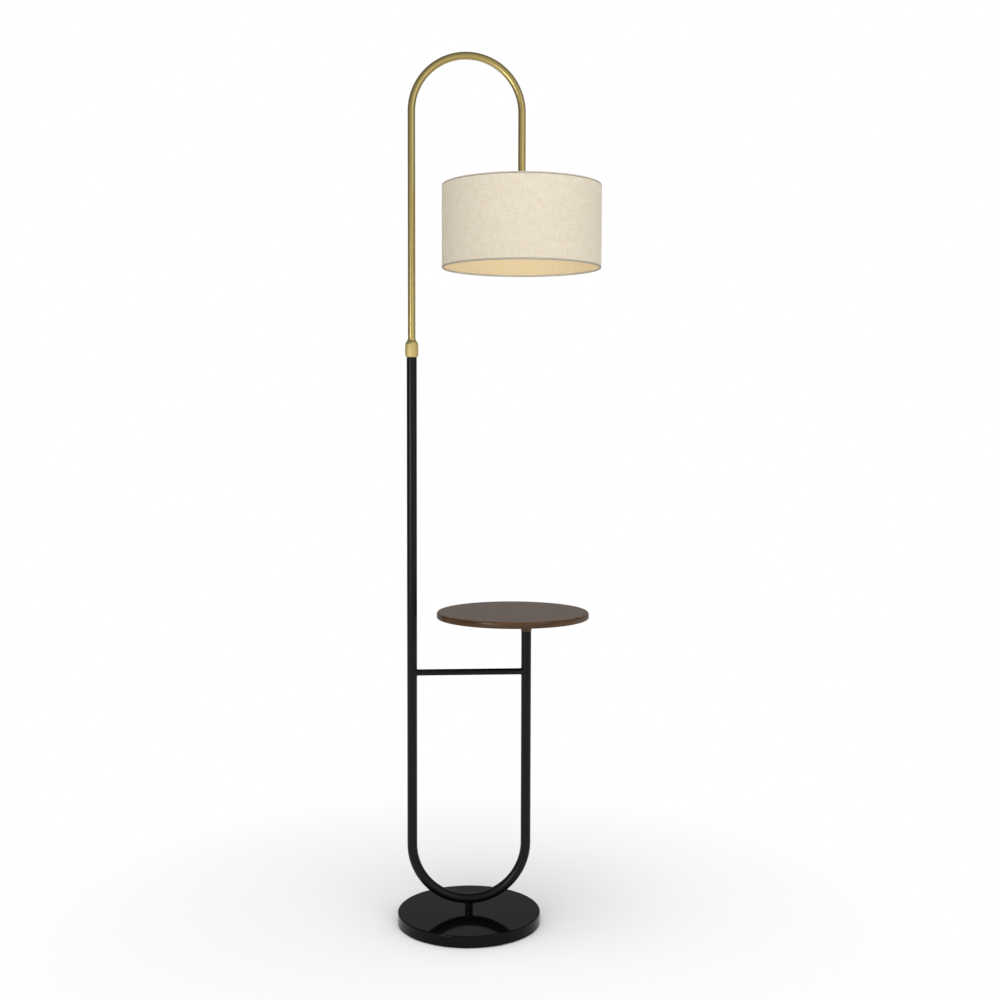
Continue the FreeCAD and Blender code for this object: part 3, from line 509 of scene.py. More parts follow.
def linen(tree, look, sizes):
    """Plain-woven natural linen: crossed threads, thicker slubs and soft light through the cloth; the
    hollows between the threads are painted darker as shade.
    """
    place = add_node(tree, "UVMap")
    # Real linen has about 12 threads a centimetre; they are drawn coarser, so that they show.
    warp = streaks(tree, place, 0.5 * sizes.thread_spacing, 1, 14, 1)
    weft = streaks(tree, place, 0.5 * sizes.thread_spacing, 14, 1, 1)
    threads = add_node(tree, "Math", {0: warp, 1: weft}, operation="ADD")
    # The thread pattern also sets the colour: raised threads paler and hollows darker, which is painted
    # light and shade on top of the bump.
    weave_painted_shade = add_node(tree, "MapRange", {"Value": threads, "From Min": 0.5, "From Max": 1.5})
    cloud = add_node(tree, "TexNoise", {"Vector": place, "Scale": 1 / (12 * MM)})
    mottle = add_node(tree, "Math", {0: cloud, 1: 0.5, 2: -0.22}, operation="MULTIPLY_ADD")
    share = add_node(tree, "Math", {0: weave_painted_shade, 1: mottle}, operation="ADD", use_clamp=True)
    cloth = add_node(tree, "Mix", {0: share, 6: look.linen_dark, 7: look.linen_light},
                     data_type="RGBA").outputs[2]
    bump = add_node(tree, "Bump", {"Height": threads, "Distance": 0.25 * MM})
    face = add_node(tree, "BsdfPrincipled", {
        "Base Color": cloth, "Roughness": 0.85, "Normal": bump, "Specular IOR Level": 0.2,
        "Sheen Weight": 0.15})
    through = add_node(tree, "BsdfTranslucent", {"Color": cloth})
    return add_node(tree, "MixShader", {0: 0.18, 1: face, 2: through})


def hem_cloth(tree, look, sizes):
    """Linen turned in over the wires: tight cross threads, a little darker with glue."""
    ribs = streaks(tree, add_node(tree, "UVMap"), 0.5 * sizes.thread_spacing, 1, 6, 1)
    return surface(tree, ribs, look.hem, "#a59c90", relief=0.15, roughness=0.85, Specular_IOR_Level=0.2)


def styrene_lining(tree, look, sizes):
    """Cream styrene laminated to the linen: smooth, with the cloth's threads just printing through."""
    threads = streaks(tree, add_node(tree, "UVMap"), 1.2 * sizes.thread_spacing, 1, 5, 1)
    tint = add_node(tree, "Mix", {0: threads, 6: look.lining, 7: linear("#f9e2b2")},
                    data_type="RGBA").outputs[2]
    bump = add_node(tree, "Bump", {"Height": threads, "Distance": 0.03 * MM})
    face = add_node(tree, "BsdfPrincipled", {
        "Base Color": tint, "Roughness": 0.55, "Normal": bump, "Specular IOR Level": 0.3})
    through = add_node(tree, "BsdfTranslucent", {"Color": tint})
    return add_node(tree, "MixShader", {0: 0.15, 1: face, 2: through})


def speckled(tree, light, dark, grain, **settings):
    """A plain solid finish with a grain of a real size, in mm, in its colour, gloss and relief."""
    place = add_node(tree, "TexCoord").outputs["Object"]
    speck = add_node(tree, "TexNoise", {"Vector": place, "Scale": 1 / (grain * MM)})
    return surface(tree, speck, light, dark, **settings)


def add_finish(slot, build, *details, name=None, **settings):
    """Keep a finish for a slot of the record's; its material takes the slot's name unless one is given."""
    FINISHES[slot] = new_finish(name or slot, build, *details, **settings)


def make_finishes(look, sizes):
    """Make every finish once from the scene's colours and sizes."""
    add_finish("black_powder_coat", powder_coat, look, sizes)
    add_finish("black_gloss_lacquer", gloss_lacquer, look, sizes)
    add_finish("satin_brass", brushed_brass, look, sizes)
    add_finish("brushed_brass_collar", turned_brass, look, sizes, name="turned_collar_brass",
               polished_from=foot("collar") + 24.5 * MM)
    add_finish("holder_brass", turned_brass, look, sizes, name="spun_holder_brass",
               polished_from=top("holder_cap"))
    add_finish("walnut_top", walnut, look, sizes)
    add_finish("walnut_boss", walnut, look, sizes)
    add_finish("linen", linen, look, sizes)
    add_finish("hem_tape", hem_cloth, look, sizes, name="hem_linen")
    add_finish("lining", styrene_lining, look, sizes, name="styrene_lining")
    # Pressed wool felt has matt fibres.
    add_finish("felt", speckled, look.felt, "#131314", name="wool_felt", grain=1.5, relief=0.3,
               roughness=(0.9, 1), Specular_IOR_Level=0.1, Sheen_Weight=0.3)
    # Sand-cast iron wears a thin coat of paint.
    add_finish("cast_iron", speckled, look.iron, "#2c2b29", grain=2.5, relief=0.3,
               roughness=(0.5, 0.75), Metallic=0.8)
    # The fasteners are turned steel with bright zinc plate.
    add_finish("zinc_steel", speckled, look.zinc, "#a3a5a7", grain=3, relief=0.01,
               roughness=(0.28, 0.42), Metallic=1)
    # The thermoset is compression-moulded phenolic.
    add_finish("black_thermoset", speckled, look.thermoset, "#100f0f", grain=0.8, relief=0.01,
               roughness=(0.32, 0.42), Specular_IOR_Level=0.4)
    # Natural nylon is faintly clouded.
    add_finish("nylon", speckled, look.nylon, "#dad5c6", grain=4, relief=0.02, roughness=(0.4, 0.5))
    # Steatite is dust pressed, fired and unglazed.
    add_finish("steatite", speckled, look.steatite, "#d0ccc3", grain=0.8, relief=0.03,
               roughness=(0.5, 0.65))
    # Nickel covers deep-drawn brass.
    add_finish("nickel", speckled, look.nickel, "#b4b0a7", grain=3, relief=0.01,
               roughness=(0.2, 0.32), Metallic=1)
    # The bulb's glass is flashed white inside, so that it glows evenly.
    add_finish("opal_glass", speckled, look.opal, "#f0eee8", grain=12, relief=0.002,
               roughness=(0.12, 0.18), Subsurface_Weight=0.3, Subsurface_Scale=2 * MM)
    # The cap's pressed glass bead has a deep gloss.
    add_finish("black_glass", speckled, look.black_glass, "#09080a", grain=3, relief=0.005,
               roughness=(0.08, 0.14))
    # Drawn wire is coated with epoxy powder.
    add_finish("white_wire", speckled, look.white_coat, "#dfddd7", name="white_wire_coat", grain=1.5,
               relief=0.02, roughness=(0.38, 0.48))
    # The leads' sheath is extruded PVC.
    add_finish("lead_sheath", speckled, look.sheath, "#1a1a1c", name="pvc_sheath", grain=2, relief=0.01,
               roughness=(0.45, 0.55))


# ---- pieces

class LAMP_OT_finishes(bpy.types.Operator):
    """Make the finishes that the pieces take"""

    bl_idname = "lamp.finishes"
    bl_label = "Finishes"

    def execute(self, context):
        make_finishes(context.scene.lamp_colours, context.scene.lamp_sizes)
        return {"FINISHED"}


class LAMP_OT_base(bpy.types.Operator):
    """Make the lacquered base cover, its felt pad and the cable inlet, and dress what they hide"""

    bl_idname = "lamp.base"
    bl_label = "Base"

    def execute(self, context):
        edge_break = context.scene.lamp_sizes.edge_break
        shell = cup("base_cover", across("base_pipe"), wall=1.2 * MM, bend=2.5 * MM, steps=LARGE_TURN)
        add_piece(shell, "base_shell", "base", "black_gloss_lacquer", "base_cover", even=True)

        radius, low, high = extent("base_pad")
        pad = turned([(0, low), (radius, low, 2 * edge_break), (radius, high, edge_break), (0, high)],
                     LARGE_TURN, closed=False)
        add_piece(pad, "felt_pad", "base", "felt", "base_pad", even=True)

        inner, outer = (corner.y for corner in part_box("cord_inlet"))
        reach = outer - inner
        bore, body, flange, lip = 3.5 * MM, 5 * MM, across("cord_inlet"), 1.5 * MM
        bush = turned([(bore, 0), (body, 0), (body, reach - lip), (flange, reach - lip),
                       (flange, reach, 2 * edge_break), (bore, reach, 2 * edge_break)])
        lay(bush, (0, inner, middle("cord_inlet").z), -math.pi / 2, "X")
        add_piece(bush, "inlet_bush", "base", "black_thermoset", "cord_inlet", even=True)

        dress("cast_iron", "base_weight")
        dress("zinc_steel", "base_pipe", "base_washer", "base_nut")
        return {"FINISHED"}


class LAMP_OT_black_frame(bpy.types.Operator):
    """Make the bent frame tube, the neck under it, the cross bar and the bush in the pole's top"""

    bl_idname = "lamp.black_frame"
    bl_label = "Black frame"

    def execute(self, context):
        sizes = context.scene.lamp_sizes
        weld, edge_break = sizes.weld_width, sizes.edge_break
        low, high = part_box("frame_tube")
        radius = (high.y - low.y) / 2
        large = across("frame_tube") - radius
        bend = low.z + radius + large
        tube = hairpin(radius, POLE_X, LEG_X, bend, high.z, foot("table_boss"), side=-1)
        add_wall(add_piece(tube, "bent_frame", "base", "black_powder_coat", "frame_tube"), 1.2 * MM)

        neck_radius, neck_foot, _ = extent("neck_post")
        rim = 1.5 * MM
        fillet = arc((neck_radius + weld, low.z - weld), weld, 180, 90, ROUND_STEPS)
        neck = turned([(neck_radius - rim, neck_foot), (neck_radius, neck_foot, edge_break / 2), *fillet],
                      closed=False)
        for vert in neck.verts:
            if vert.co.z > low.z - weld - JOIN:
                out = large + math.sqrt(radius ** 2 - vert.co.y ** 2)
                underside = bend - math.sqrt(out ** 2 - vert.co.x ** 2)
                vert.co.z += underside - low.z
        add_piece(neck, "neck_with_weld", "base", "black_powder_coat", "neck_post")

        low_corner, high_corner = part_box("cross_bar")
        bar_radius = (high_corner.y - low_corner.y) / 2
        half = (LEG_X - POLE_X) / 2 - radius
        end = arc((bar_radius + weld, half - weld), weld, 180, 90, ROUND_STEPS)
        bar = turned([(x, -z) for x, z in reversed(end)] + end, closed=False)
        for vert in bar.verts:
            if abs(vert.co.z) > half - weld - JOIN:
                gap = radius - math.sqrt(radius ** 2 - vert.co.y ** 2)
                vert.co.z += math.copysign(gap, vert.co.z)
        lay(bar, (0, 0, middle("cross_bar").z), math.pi / 2, "Y")
        add_piece(bar, "cross_bar_with_welds", "base", "black_powder_coat", "cross_bar")

        bore, plug = across("swivel_spindle") + 0.1 * MM, radius - 1.25 * MM
        _, plug_foot, plug_top = extent("pole_plug")
        bush = turned([(bore, plug_foot), (plug, plug_foot, edge_break), (plug, high.z),
                       (radius, high.z, edge_break / 2), (radius, plug_top, edge_break),
                       (bore, plug_top)], x=POLE_X)
        add_piece(bush, "pole_bush", "base", "black_powder_coat", "pole_plug", even=True)
        dress("zinc_steel", "pole_stop_pin", "leg_plug")
        return {"FINISHED"}


class LAMP_OT_table(bpy.types.Operator):
    """Make the walnut top, the turned boss under it and the screws that hold its plate"""

    bl_idname = "lamp.table"
    bl_label = "Table"

    def execute(self, context):
        radius, low, high = extent("table_top")
        x, under_round, top_round = middle("table_top").x, 1.5 * MM, 4 * MM
        board = turned([(0, low), (radius, low, under_round), (radius, high, top_round), (0, high)],
                       LARGE_TURN, x, closed=False)
        unwrap_wood(board, radius, x)
        add_piece(board, "walnut_board", "base", "walnut_top", "table_top", even=True)

        radius, low, high = extent("table_boss")
        bore = across("table_stud") + 0.3 * MM
        boss = ring(bore, radius, low, high, context.scene.lamp_sizes.edge_break, x=LEG_X)
        unwrap_wood(boss, radius, LEG_X)
        add_piece(boss, "walnut_ferrule", "base", "walnut_boss", "table_boss", even=True)

        low_corner, high_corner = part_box("table_screws")
        head, shank = 3.5 * MM, 1.75 * MM
        screws = bmesh.new()
        for x in (low_corner.x + head, high_corner.x - head):
            for y in (low_corner.y + head, high_corner.y - head):
                self.add_screw(screws, x, y, low_corner.z, high_corner.z, head, shank)
        bmesh.ops.recalc_face_normals(screws, faces=screws.faces[:])
        add_piece(screws, "wood_screws", "base", "zinc_steel", "table_screws")

        dress("black_powder_coat", "table_plate")
        dress("zinc_steel", "table_stud", "table_nut")
        return {"FINISHED"}

    def add_screw(self, bm, x, y, low, high, head, shank):
        """A countersunk wood screw with a cross recess, its head down."""
        grid = bmesh.ops.create_grid(bm, x_segments=3, y_segments=3, size=0.5 * head,
                                     matrix=Matrix.Translation((x, y, low)))
        faces = list({face for vert in grid["verts"] for face in vert.link_faces})
        aside = {face: face.calc_center_median() - Vector((x, y, low)) for face in faces}
        corners = [face for face in faces if min(abs(aside[face].x), abs(aside[face].y)) > JOIN]
        bmesh.ops.delete(bm, geom=corners, context="FACES")
        cross = [face for face in faces if face.is_valid]
        rim = list({edge for face in cross for edge in face.edges if len(edge.link_faces) == 1})
        recess = bmesh.ops.extrude_face_region(bm, geom=cross)["geom"]
        bmesh.ops.translate(bm, vec=(0, 0, 0.4 * head), verts=verts_of(recess))
        bmesh.ops.delete(bm, geom=[face for face in cross if face.is_valid], context="FACES_ONLY")
        edge = start_tube(bm, head, (x, y, low), sides=24)
        bmesh.ops.bridge_loops(bm, edges=rim + edge)
        tip = 1.2 * shank
        for reach, radius in ((head - shank, shank), (high - low - tip, shank), (high - low, 0.1 * shank)):
            edge = draw_run(bm, edge, (0, 0, low + reach - edge[0].verts[0].co.z))
            ends = list({vert for item in edge for vert in item.verts})
            share = radius / math.hypot(ends[0].co.x - x, ends[0].co.y - y)
            bmesh.ops.scale(bm, vec=(share, share, 1), verts=ends, space=Matrix.Translation((-x, -y, 0)))
        bmesh.ops.contextual_create(bm, geom=edge)


class LAMP_OT_arch(bpy.types.Operator):
    """Make the brass collar and the arch that stands in it, and dress the swivel inside"""

    bl_idname = "lamp.arch"
    bl_label = "Arch"

    def execute(self, context):
        low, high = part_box("arch_tube")
        radius = (high.y - low.y) / 2
        left, right = low.x + radius, high.x - radius
        bend = high.z - radius - (right - left) / 2
        tube = hairpin(radius, left, right, bend, low.z, top("holder_cap"), side=1)
        add_wall(add_piece(tube, "brass_arch", "arch", "satin_brass", "arch_tube"), 1 * MM)

        # The collar's side is a slightly swelling barrel, between a rounded foot and a dome with a flare.
        widest, base, crown = extent("collar")
        groove, tube_bore = 7.8 * MM, radius + 0.05 * MM
        side, side_start, side_end = widest - 0.4 * MM, base + 3.5 * MM, base + 24 * MM
        half_side = (side_end - side_start) / 2
        bulge = (half_side ** 2 + (widest - side) ** 2) / (2 * (widest - side))
        lean = math.degrees(math.asin(half_side / bulge))
        barrel = arc((widest - bulge, side_start + half_side), bulge, -lean, lean, steps=8)
        mouth, shoulder = (10.6 * MM, base), (10.2 * MM, base + 29 * MM)
        lip = (tube_bore + 0.35 * MM, crown)
        foot_radius, dome_radius, flare_radius = 6 * MM, 12 * MM, -7.5 * MM
        collar = turned([(groove, base), *between(mouth, barrel[0], foot_radius)[:-1], *barrel,
                         *between(barrel[-1], shoulder, dome_radius)[1:],
                         *between(shoulder, lip, flare_radius)[1:], (tube_bore, crown),
                         (tube_bore, low.z), (groove, low.z)], x=POLE_X)
        add_piece(collar, "brass_collar", "arch", "brushed_brass_collar", "collar", sharp=40)
        dress("zinc_steel", "arch_stop_pin", "swivel_spindle", "swivel_spring", "swivel_nut",
              "arch_end_plug", "holder_pipe")
        dress("nylon", "swivel_washer")
        return {"FINISHED"}


class LAMP_OT_holder(bpy.types.Operator):
    """Make the lamp holder's cap, shell, ring nut, screw shell and knob, and dress what they hide"""

    bl_idname = "lamp.holder"
    bl_label = "Lamp holder"

    def execute(self, context):
        sizes = context.scene.lamp_sizes
        edge_break, slip = sizes.edge_break, 0.05 * MM
        radius, wall = across("holder_cap"), 1.4 * MM
        cap = cup("holder_cap", across("holder_pipe") + slip, wall, bend=7 * MM, x=SHADE_X)
        add_piece(cap, "holder_cup", "arch", "holder_brass", "holder_cap", even=True)

        flange, low, high = extent("holder_shell")
        ledge = high - 1.6 * MM
        shell = turned([(radius - wall, low), (radius, low, edge_break), (radius, ledge),
                        (flange, ledge, edge_break), (flange, high, edge_break),
                        (radius - wall, high)], x=SHADE_X)
        add_piece(shell, "holder_sleeve", "arch", "holder_brass", "holder_shell", even=True)

        nut_radius, low, high = extent("shade_ring_nut")
        ribs, rib_depth = 40, 1 * MM
        nut = turned([(radius + slip, low), (nut_radius, low, 2 * edge_break),
                      (nut_radius, high, 2 * edge_break), (radius + slip, high)], 4 * ribs)
        flute(nut, nut_radius - 3 * edge_break, ribs, rib_depth)
        shift(nut, SHADE_X)
        add_piece(nut, "ribbed_ring_nut", "arch", "black_thermoset", "shade_ring_nut", even=True)

        add_wall(add_piece(threaded(sizes, "screw_shell"), "threaded_shell", "arch", "nickel",
                           "screw_shell", sharp=60), 0.4 * MM)

        front, back = (corner.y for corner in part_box("switch_knob"))
        knob_radius, spindle = across("switch_knob"), across("switch_spindle") + slip
        reach, dome, grips, grip_depth = back - front, 1.375 * MM, 18, 0.5 * MM
        knob = turned([(0, reach), (knob_radius, reach, dome), (knob_radius, 0, edge_break),
                       (spindle, 0), (spindle, 0.75 * reach), (0, 0.75 * reach)], 6 * grips, closed=False)
        flute(knob, knob_radius - 0.5 * dome, grips, grip_depth)
        lay(knob, (SHADE_X, back, middle("switch_knob").z), math.pi / 2, "X")
        add_piece(knob, "fluted_knob", "switch", "black_thermoset", "switch_knob", even=True)

        dress("steatite", "holder_core")
        dress("nickel", "holder_contact")
        dress("black_thermoset", "switch_block")
        dress("zinc_steel", "switch_spindle")
        return {"FINISHED"}


class LAMP_OT_bulb(bpy.types.Operator):
    """Make the opal globe and its threaded cap"""

    bl_idname = "lamp.bulb"
    bl_label = "Bulb"

    def execute(self, context):
        globe, low, high = extent("bulb_glass")
        throat, wall, steps = across("bulb_cap") - 0.6 * MM, 0.9 * MM, 32
        meet, earlier = math.degrees(math.acos(throat / globe)), 4
        outside = arc((0, low + globe), globe, -90, meet, steps)
        inside = arc((0, low + globe), globe - wall, -90, meet - earlier, steps)
        glass = turned([*outside, (throat, high), (throat - wall, high), *reversed(inside)], x=SHADE_X,
                       closed=False)
        add_piece(glass, "opal_globe", "arch", "opal_glass", "bulb_glass", sharp=50)

        add_wall(add_piece(threaded(context.scene.lamp_sizes, "bulb_cap"), "threaded_cap", "arch",
                           "nickel", "bulb_cap", sharp=60), 0.1 * MM)
        dress("black_glass", "bulb_insulator")
        dress("nickel", "bulb_tip")
        return {"FINISHED"}


class LAMP_OT_shade(bpy.types.Operator):
    """Make the linen with its lap seam, the lining, both hems and the wire frame inside"""

    bl_idname = "lamp.shade"
    bl_label = "Shade"

    def execute(self, context):
        sizes = context.scene.lamp_sizes
        radius, low, high = extent("shade_fabric")

        # The cloth starts and ends at the back, where the last stretch laps over the first.
        seam = math.pi / 2
        cloth = bmesh.new()
        points = [cloth.verts.new((radius * math.cos(seam), radius * math.sin(seam), height))
                  for height in (low, high)]
        edges = [cloth.edges.new(points)]
        hair = 10 * JOIN / radius      # less than a full turn, so that the ends stay apart
        edges = draw_bend(cloth, edges, (0, 0, 0), UP, FULL_TURN - hair, LARGE_TURN)
        out = Vector((math.cos(seam), math.sin(seam), 0)) * sizes.seam_step
        edges = draw_run(cloth, edges, out)
        draw_bend(cloth, edges, (0, 0, 0), UP, sizes.seam_overlap / radius, steps=4)
        bmesh.ops.recalc_face_normals(cloth, faces=cloth.faces[:])

        def spot(point):
            """The angle from the seam and the height."""
            return math.atan2(point.y, point.x) - seam, point.z

        def near(centre):
            """The angle that a face's middle has come round by, past a full turn on the lap."""
            angle = spot(centre)[0] % FULL_TURN
            return angle + FULL_TURN if centre.xy.length > radius and angle < math.pi else angle

        unwrap(cloth, radius, spot, near)
        shift(cloth, SHADE_X)
        fabric = add_wall(add_piece(cloth, "linen_drum", "arch", "linen", "shade_fabric"), 0.6 * MM)

        liner_radius, liner_foot, liner_top = extent("shade_liner")
        liner = ring(liner_radius - 0.5 * MM, liner_radius, liner_foot, liner_top, 0.1 * MM, LARGE_TURN)
        unwrap_round(liner, liner_radius)
        shift(liner, SHADE_X)
        add_piece(liner, "cream_lining", "arch", "lining", "shade_liner", even=True)

        hems = [self.add_hem("top", 1), self.add_hem("bottom", -1)]
        self.add_spider(sizes)
        return {"FINISHED"}

    def add_hem(self, name, side):
        """The rim wire and the cloth turned in over it."""
        wire, hem = f"shade_{name}_wire", f"shade_{name}_hem"
        outside, low, high = extent(wire)
        wire_radius, height = (high - low) / 2, middle(wire).z
        circle = outside - wire_radius
        rim, thickness = across(hem) - circle, 0.4 * MM
        outer = arc((circle, height), rim, -90 * side, 180 * side, 4 * ROUND_STEPS)
        inner = arc((circle, height), rim - thickness, 180 * side, -90 * side, 4 * ROUND_STEPS)
        cloth = turned([*outer, *inner], LARGE_TURN)
        unwrap_round(cloth, circle)
        shift(cloth, SHADE_X)
        piece = add_piece(cloth, f"rolled_{name}_hem", "arch", "hem_tape", hem, sharp=50)

        flats = 24
        section = arc((circle, height), wire_radius, 0, 360 - 360 / flats, flats - 1)
        round_wire = turned(section, LARGE_TURN, SHADE_X)
        add_piece(round_wire, f"round_{name}_wire", "arch", "white_wire", wire, sharp=80)
        return piece

    def add_spider(self, sizes):
        """The hub washer and three wire arms that carry the top rim."""
        hub_foot = top("shade_ring_nut")
        hub_top, hub_radius, arm = hub_foot + 2 * MM, 27 * MM, 1.5 * MM
        spider = ring(across("holder_cap") + 0.05 * MM, hub_radius, hub_foot, hub_top, sizes.edge_break)

        # An arm runs out level, bends at its knee and rises to the rim wire.
        rim_wire, clear = 1.1 * MM, 0.1 * MM
        height, bend_radius = (hub_foot + hub_top) / 2, 14 * MM
        knee = Vector((96 * MM, 0, height))
        end = Vector((across("shade_top_wire") - rim_wire, 0, middle("shade_top_wire").z))
        rise = (end - knee).normalized()
        end -= rise * (rim_wire + clear)
        turn = math.atan2(rise.z, rise.x)
        setback = bend_radius * math.tan(turn / 2)
        start = Vector((hub_radius - arm, 0, height))
        arms = bmesh.new()
        edges = start_tube(arms, arm, start, (1, 0, 0), sides=24)
        edges = draw_run(arms, edges, knee - start - Vector((setback, 0, 0)))
        centre = knee + Vector((-setback, 0, bend_radius))
        edges = draw_bend(arms, edges, centre, (0, -1, 0), turn, steps=12)
        draw_run(arms, edges, end - knee - rise * setback)
        bmesh.ops.holes_fill(arms, edges=arms.edges[:], sides=0)
        close_up(arms)
        shapes = arms.verts[:] + arms.edges[:] + arms.faces[:]
        for count in (1, 2):
            copy = bmesh.ops.duplicate(arms, geom=shapes)["geom"]
            bmesh.ops.rotate(arms, matrix=Matrix.Rotation(FULL_TURN * count / 3, 3, "Z"),
                             verts=verts_of(copy))
        whole = bpy.data.meshes.new("spider_arms")
        arms.to_mesh(whole)
        arms.free()
        spider.from_mesh(whole)
        bpy.data.meshes.remove(whole)
        shift(spider, SHADE_X)
        add_piece(spider, "wire_spider", "arch", "white_wire", "shade_fitter")


class LAMP_OT_wiring(bpy.types.Operator):
    """Dress the two leads inside the tubes"""

    bl_idname = "lamp.wiring"
    bl_label = "Wiring"

    def execute(self, context):
        dress("lead_sheath", "lower_lead", "upper_lead")
        return {"FINISHED"}


# ---- stage

LAMP_YAW = 0.0529            # how far the lamp stands turned from square to the camera, in radians
CAMERA_PLACE = (0, -2.5599, 0.9671)
CAMERA_YAW = 0.0226          # to the right
CAMERA_PITCH = 0.0593        # downwards
CAMERA_ROLL = 0.0025
FOCAL_SHARE = 1.3518         # focal length as a share of the picture's width
AIM = Vector((0, 0, 0.9))    # where the lamps point
FLOOR_REACH = 12
SHADOW_START = 0.15          # the floor fades to white between these distances from the lamp's middle
SHADOW_END = 0.9
WORLD_LEVEL = 0.49           # of the even light that the surroundings give
FLATS_AWAY = 3.3
FLATS_HEIGHT = 5
FLATS_SUNK = 0.5             # how far they reach below the floor, which hides their lower end
FLATS_LEVELS = (0.27, 0.72)  # how bright the flats are behind the lamp and on the bright side
BRIGHT_SIDE = (0.42, -0.91, -0.5)


def shown_directly(tree):
    """One for what the camera sees, also by reflection or through glass, and else nothing."""
    path = add_node(tree, "LightPath")
    seen = add_node(tree, "Math", {0: path.outputs["Is Camera Ray"], 1: path.outputs["Is Glossy Ray"]},
                    operation="ADD")
    return add_node(tree, "Math", {0: seen, 1: path.outputs["Is Transmission Ray"]}, operation="ADD",
                    use_clamp=True)


def pale_floor(tree, colour_of_paint):
    """Matt paint that keeps the lamp's shadow near it and fades to white further out."""
    place = add_node(tree, "TexCoord").outputs["Object"]
    away = add_node(tree, "VectorMath", {0: place}, operation="LENGTH").outputs["Value"]
    far = add_node(tree, "MapRange", {"Value": away, "From Min": SHADOW_START, "From Max": SHADOW_END})
    share = add_node(tree, "Math", {0: far, 1: shown_directly(tree)}, operation="MULTIPLY")
    paint = add_node(tree, "BsdfPrincipled", {"Base Color": colour_of_paint, "Roughness": 0.9,
                                              "Specular IOR Level": 0})
    return add_node(tree, "MixShader", {0: share, 1: paint, 2: add_node(tree, "Emission")})


def grey_paper(tree):
    """Paper flats that are paler towards the bright side."""
    place = add_node(tree, "TexCoord").outputs["Object"]
    forward = add_node(tree, "VectorMath", {0: place, 1: BRIGHT_SIDE},
                       operation="DOT_PRODUCT").outputs["Value"]
    level = add_node(tree, "MapRange", {"Value": forward, "From Min": -0.5 * FLATS_AWAY,
                                        "From Max": 0.5 * FLATS_AWAY, "To Min": FLATS_LEVELS[0],
                                        "To Max": FLATS_LEVELS[1]})
    return add_node(tree, "Emission", {"Strength": level})


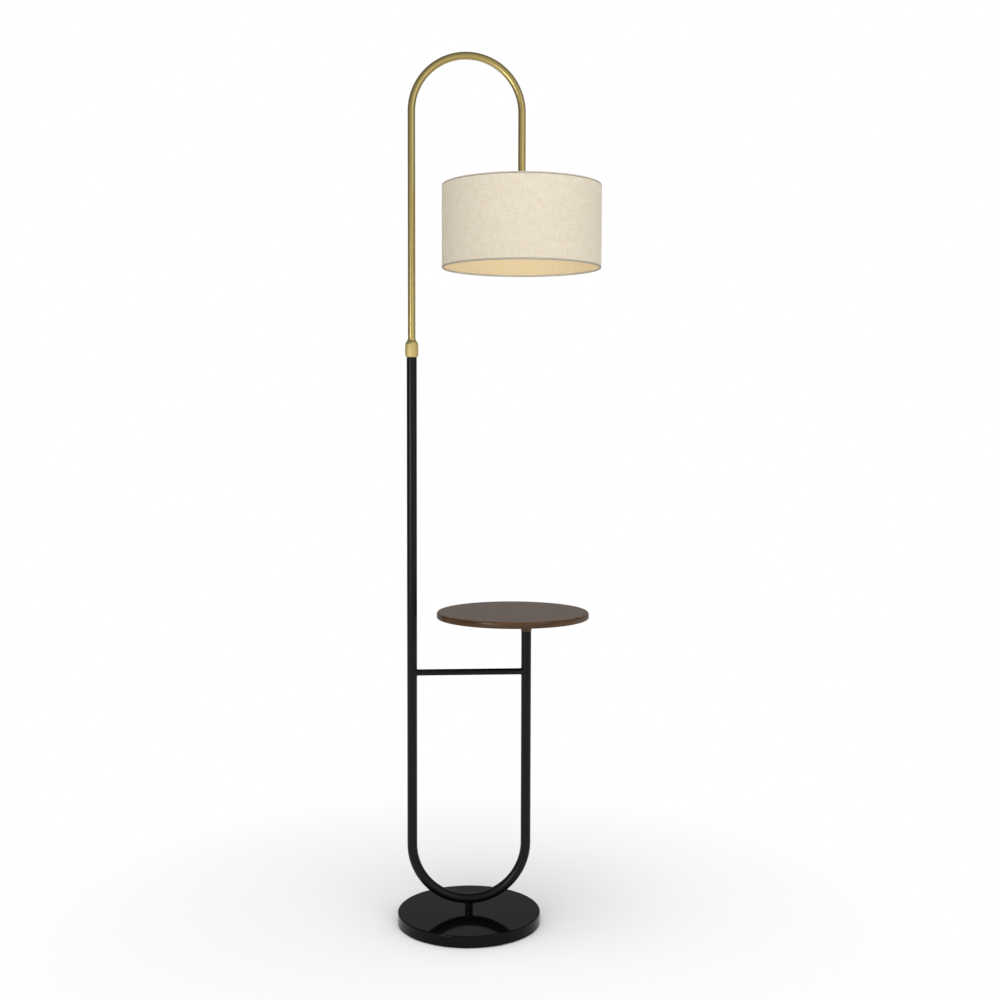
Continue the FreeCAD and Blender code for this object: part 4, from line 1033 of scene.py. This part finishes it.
class LAMP_OT_stage(bpy.types.Operator):
    """Make the camera, the pale floor, the white surroundings and the soft lamps"""

    bl_idname = "lamp.stage"
    bl_label = "Stage"

    def execute(self, context):
        self.add_camera(context)
        self.add_floor(context)
        self.add_world(context)
        self.add_lamp(context, "strip", azimuth=40, away=2.3, height=0.87, size=(0.75, 0.56),
                      radiance=13, unseen_by="diffuse")
        self.add_lamp(context, "fill", azimuth=-34, away=2.4, height=1.5, size=(1.6, 1.8), radiance=0.9)
        self.add_lamp(context, "wash", azimuth=8, away=2.4, height=1.5, size=(1.6, 1.8),
                      radiance=0.65, unseen_by="glossy")
        self.add_lamp(context, "overhead", azimuth=0, away=0.6, height=3, size=(2, 2), radiance=3.2,
                      unseen_by="glossy")
        self.add_flats()
        context.scene.view_settings.view_transform = "Standard"
        return {"FINISHED"}

    def add_camera(self, context):
        """The photograph's viewpoint, fitted to the lamp standing square in its own frame."""
        camera = bpy.data.cameras.new("camera")
        camera.sensor_width = 36
        camera.lens = camera.sensor_width * FOCAL_SHARE
        seen_from = bpy.data.objects.new("camera", camera)
        context.scene.collection.objects.link(seen_from)
        seen_from.matrix_world = (
            Matrix.Rotation(-LAMP_YAW, 4, "Z") @ Matrix.Translation(CAMERA_PLACE)
            @ Matrix.Rotation(-CAMERA_YAW, 4, "Z") @ Matrix.Rotation(math.pi / 2 - CAMERA_PITCH, 4, "X")
            @ Matrix.Rotation(CAMERA_ROLL, 4, "Z"))
        context.scene.camera = seen_from

    def add_floor(self, context):
        """A wide pale floor."""
        bm = bmesh.new()
        bmesh.ops.create_circle(bm, cap_ends=True, segments=64, radius=FLOOR_REACH)
        paint = new_finish("studio_floor", pale_floor, context.scene.lamp_colours.floor)
        add_object(bm, "studio_floor", paint)

    def add_world(self, context):
        """White where it is seen, and a plain even light elsewhere."""
        world = bpy.data.worlds.new("surroundings")
        world.use_nodes = True
        tree = world.node_tree
        tree.nodes.clear()
        level = add_node(tree, "MapRange", {"Value": shown_directly(tree), "To Min": WORLD_LEVEL})
        ground = add_node(tree, "Background", {"Color": (1, 1, 1, 1), "Strength": level})
        add_node(tree, "OutputWorld", {"Surface": ground})
        context.scene.world = world

    def add_lamp(self, context, name, azimuth, away, height, size, radiance, unseen_by=None):
        """A soft box of an even brightness, at an azimuth in degrees leftwards from the camera's side."""
        light = bpy.data.lights.new(name, "AREA")
        light.shape = "RECTANGLE"
        light.size, light.size_y = size
        light.energy = math.pi * size[0] * size[1] * radiance
        lamp = bpy.data.objects.new(name, light)
        angle = math.radians(azimuth)
        lamp.location = -away * math.sin(angle), -away * math.cos(angle), height
        lamp.rotation_mode = "QUATERNION"
        lamp.rotation_quaternion = (AIM - lamp.location).to_track_quat("-Z", "Y")
        lamp.visible_camera = False
        if unseen_by:
            setattr(lamp, f"visible_{unseen_by}", False)
        context.scene.collection.objects.link(lamp)

    def add_flats(self):
        """Grey flats and ceiling round the studio, which only gloss and metal mirror."""
        bm = bmesh.new()
        bmesh.ops.create_cone(bm, cap_ends=True, segments=48, radius1=FLATS_AWAY, radius2=FLATS_AWAY,
                              depth=FLATS_HEIGHT + FLATS_SUNK,
                              matrix=Matrix.Translation((0, 0, (FLATS_HEIGHT - FLATS_SUNK) / 2)))
        flats = add_object(bm, "grey_flats", new_finish("grey_flats", grey_paper))
        for kind in ("camera", "diffuse", "transmission", "volume_scatter", "shadow"):
            setattr(flats, f"visible_{kind}", False)


# ---- add-on

PIECE_OPERATORS = (LAMP_OT_stage, LAMP_OT_finishes, LAMP_OT_base, LAMP_OT_black_frame, LAMP_OT_table,
                   LAMP_OT_arch, LAMP_OT_holder, LAMP_OT_bulb, LAMP_OT_shade, LAMP_OT_wiring)


class LAMP_PT_panel(bpy.types.Panel):
    """The lamp's pieces, sizes and colours"""

    bl_idname = "LAMP_PT_panel"
    bl_label = "Floor lamp with table"
    bl_space_type = "VIEW_3D"
    bl_region_type = "UI"
    bl_category = "Lamp"

    def draw(self, context):
        for operator in PIECE_OPERATORS:
            self.layout.operator(operator.bl_idname)
        for group in (context.scene.lamp_sizes, context.scene.lamp_colours):
            box = self.layout.box()
            for name in group.__annotations__:
                box.prop(group, name)


CLASSES = (LampSizes, LampColours, *PIECE_OPERATORS, LAMP_PT_panel)


def register():
    for item in CLASSES:
        bpy.utils.register_class(item)
    bpy.types.Scene.lamp_sizes = PointerProperty(type=LampSizes)
    bpy.types.Scene.lamp_colours = PointerProperty(type=LampColours)


def unregister():
    del bpy.types.Scene.lamp_colours
    del bpy.types.Scene.lamp_sizes
    for item in reversed(CLASSES):
        bpy.utils.unregister_class(item)


def main():
    register()
    bpy.ops.lamp.stage()
    bpy.ops.lamp.finishes()
    bpy.ops.lamp.base()
    bpy.ops.lamp.black_frame()
    bpy.ops.lamp.table()
    bpy.ops.lamp.arch()
    bpy.ops.lamp.holder()
    bpy.ops.lamp.bulb()
    bpy.ops.lamp.shade()
    bpy.ops.lamp.wiring()


if __name__ == "__main__":
    main()
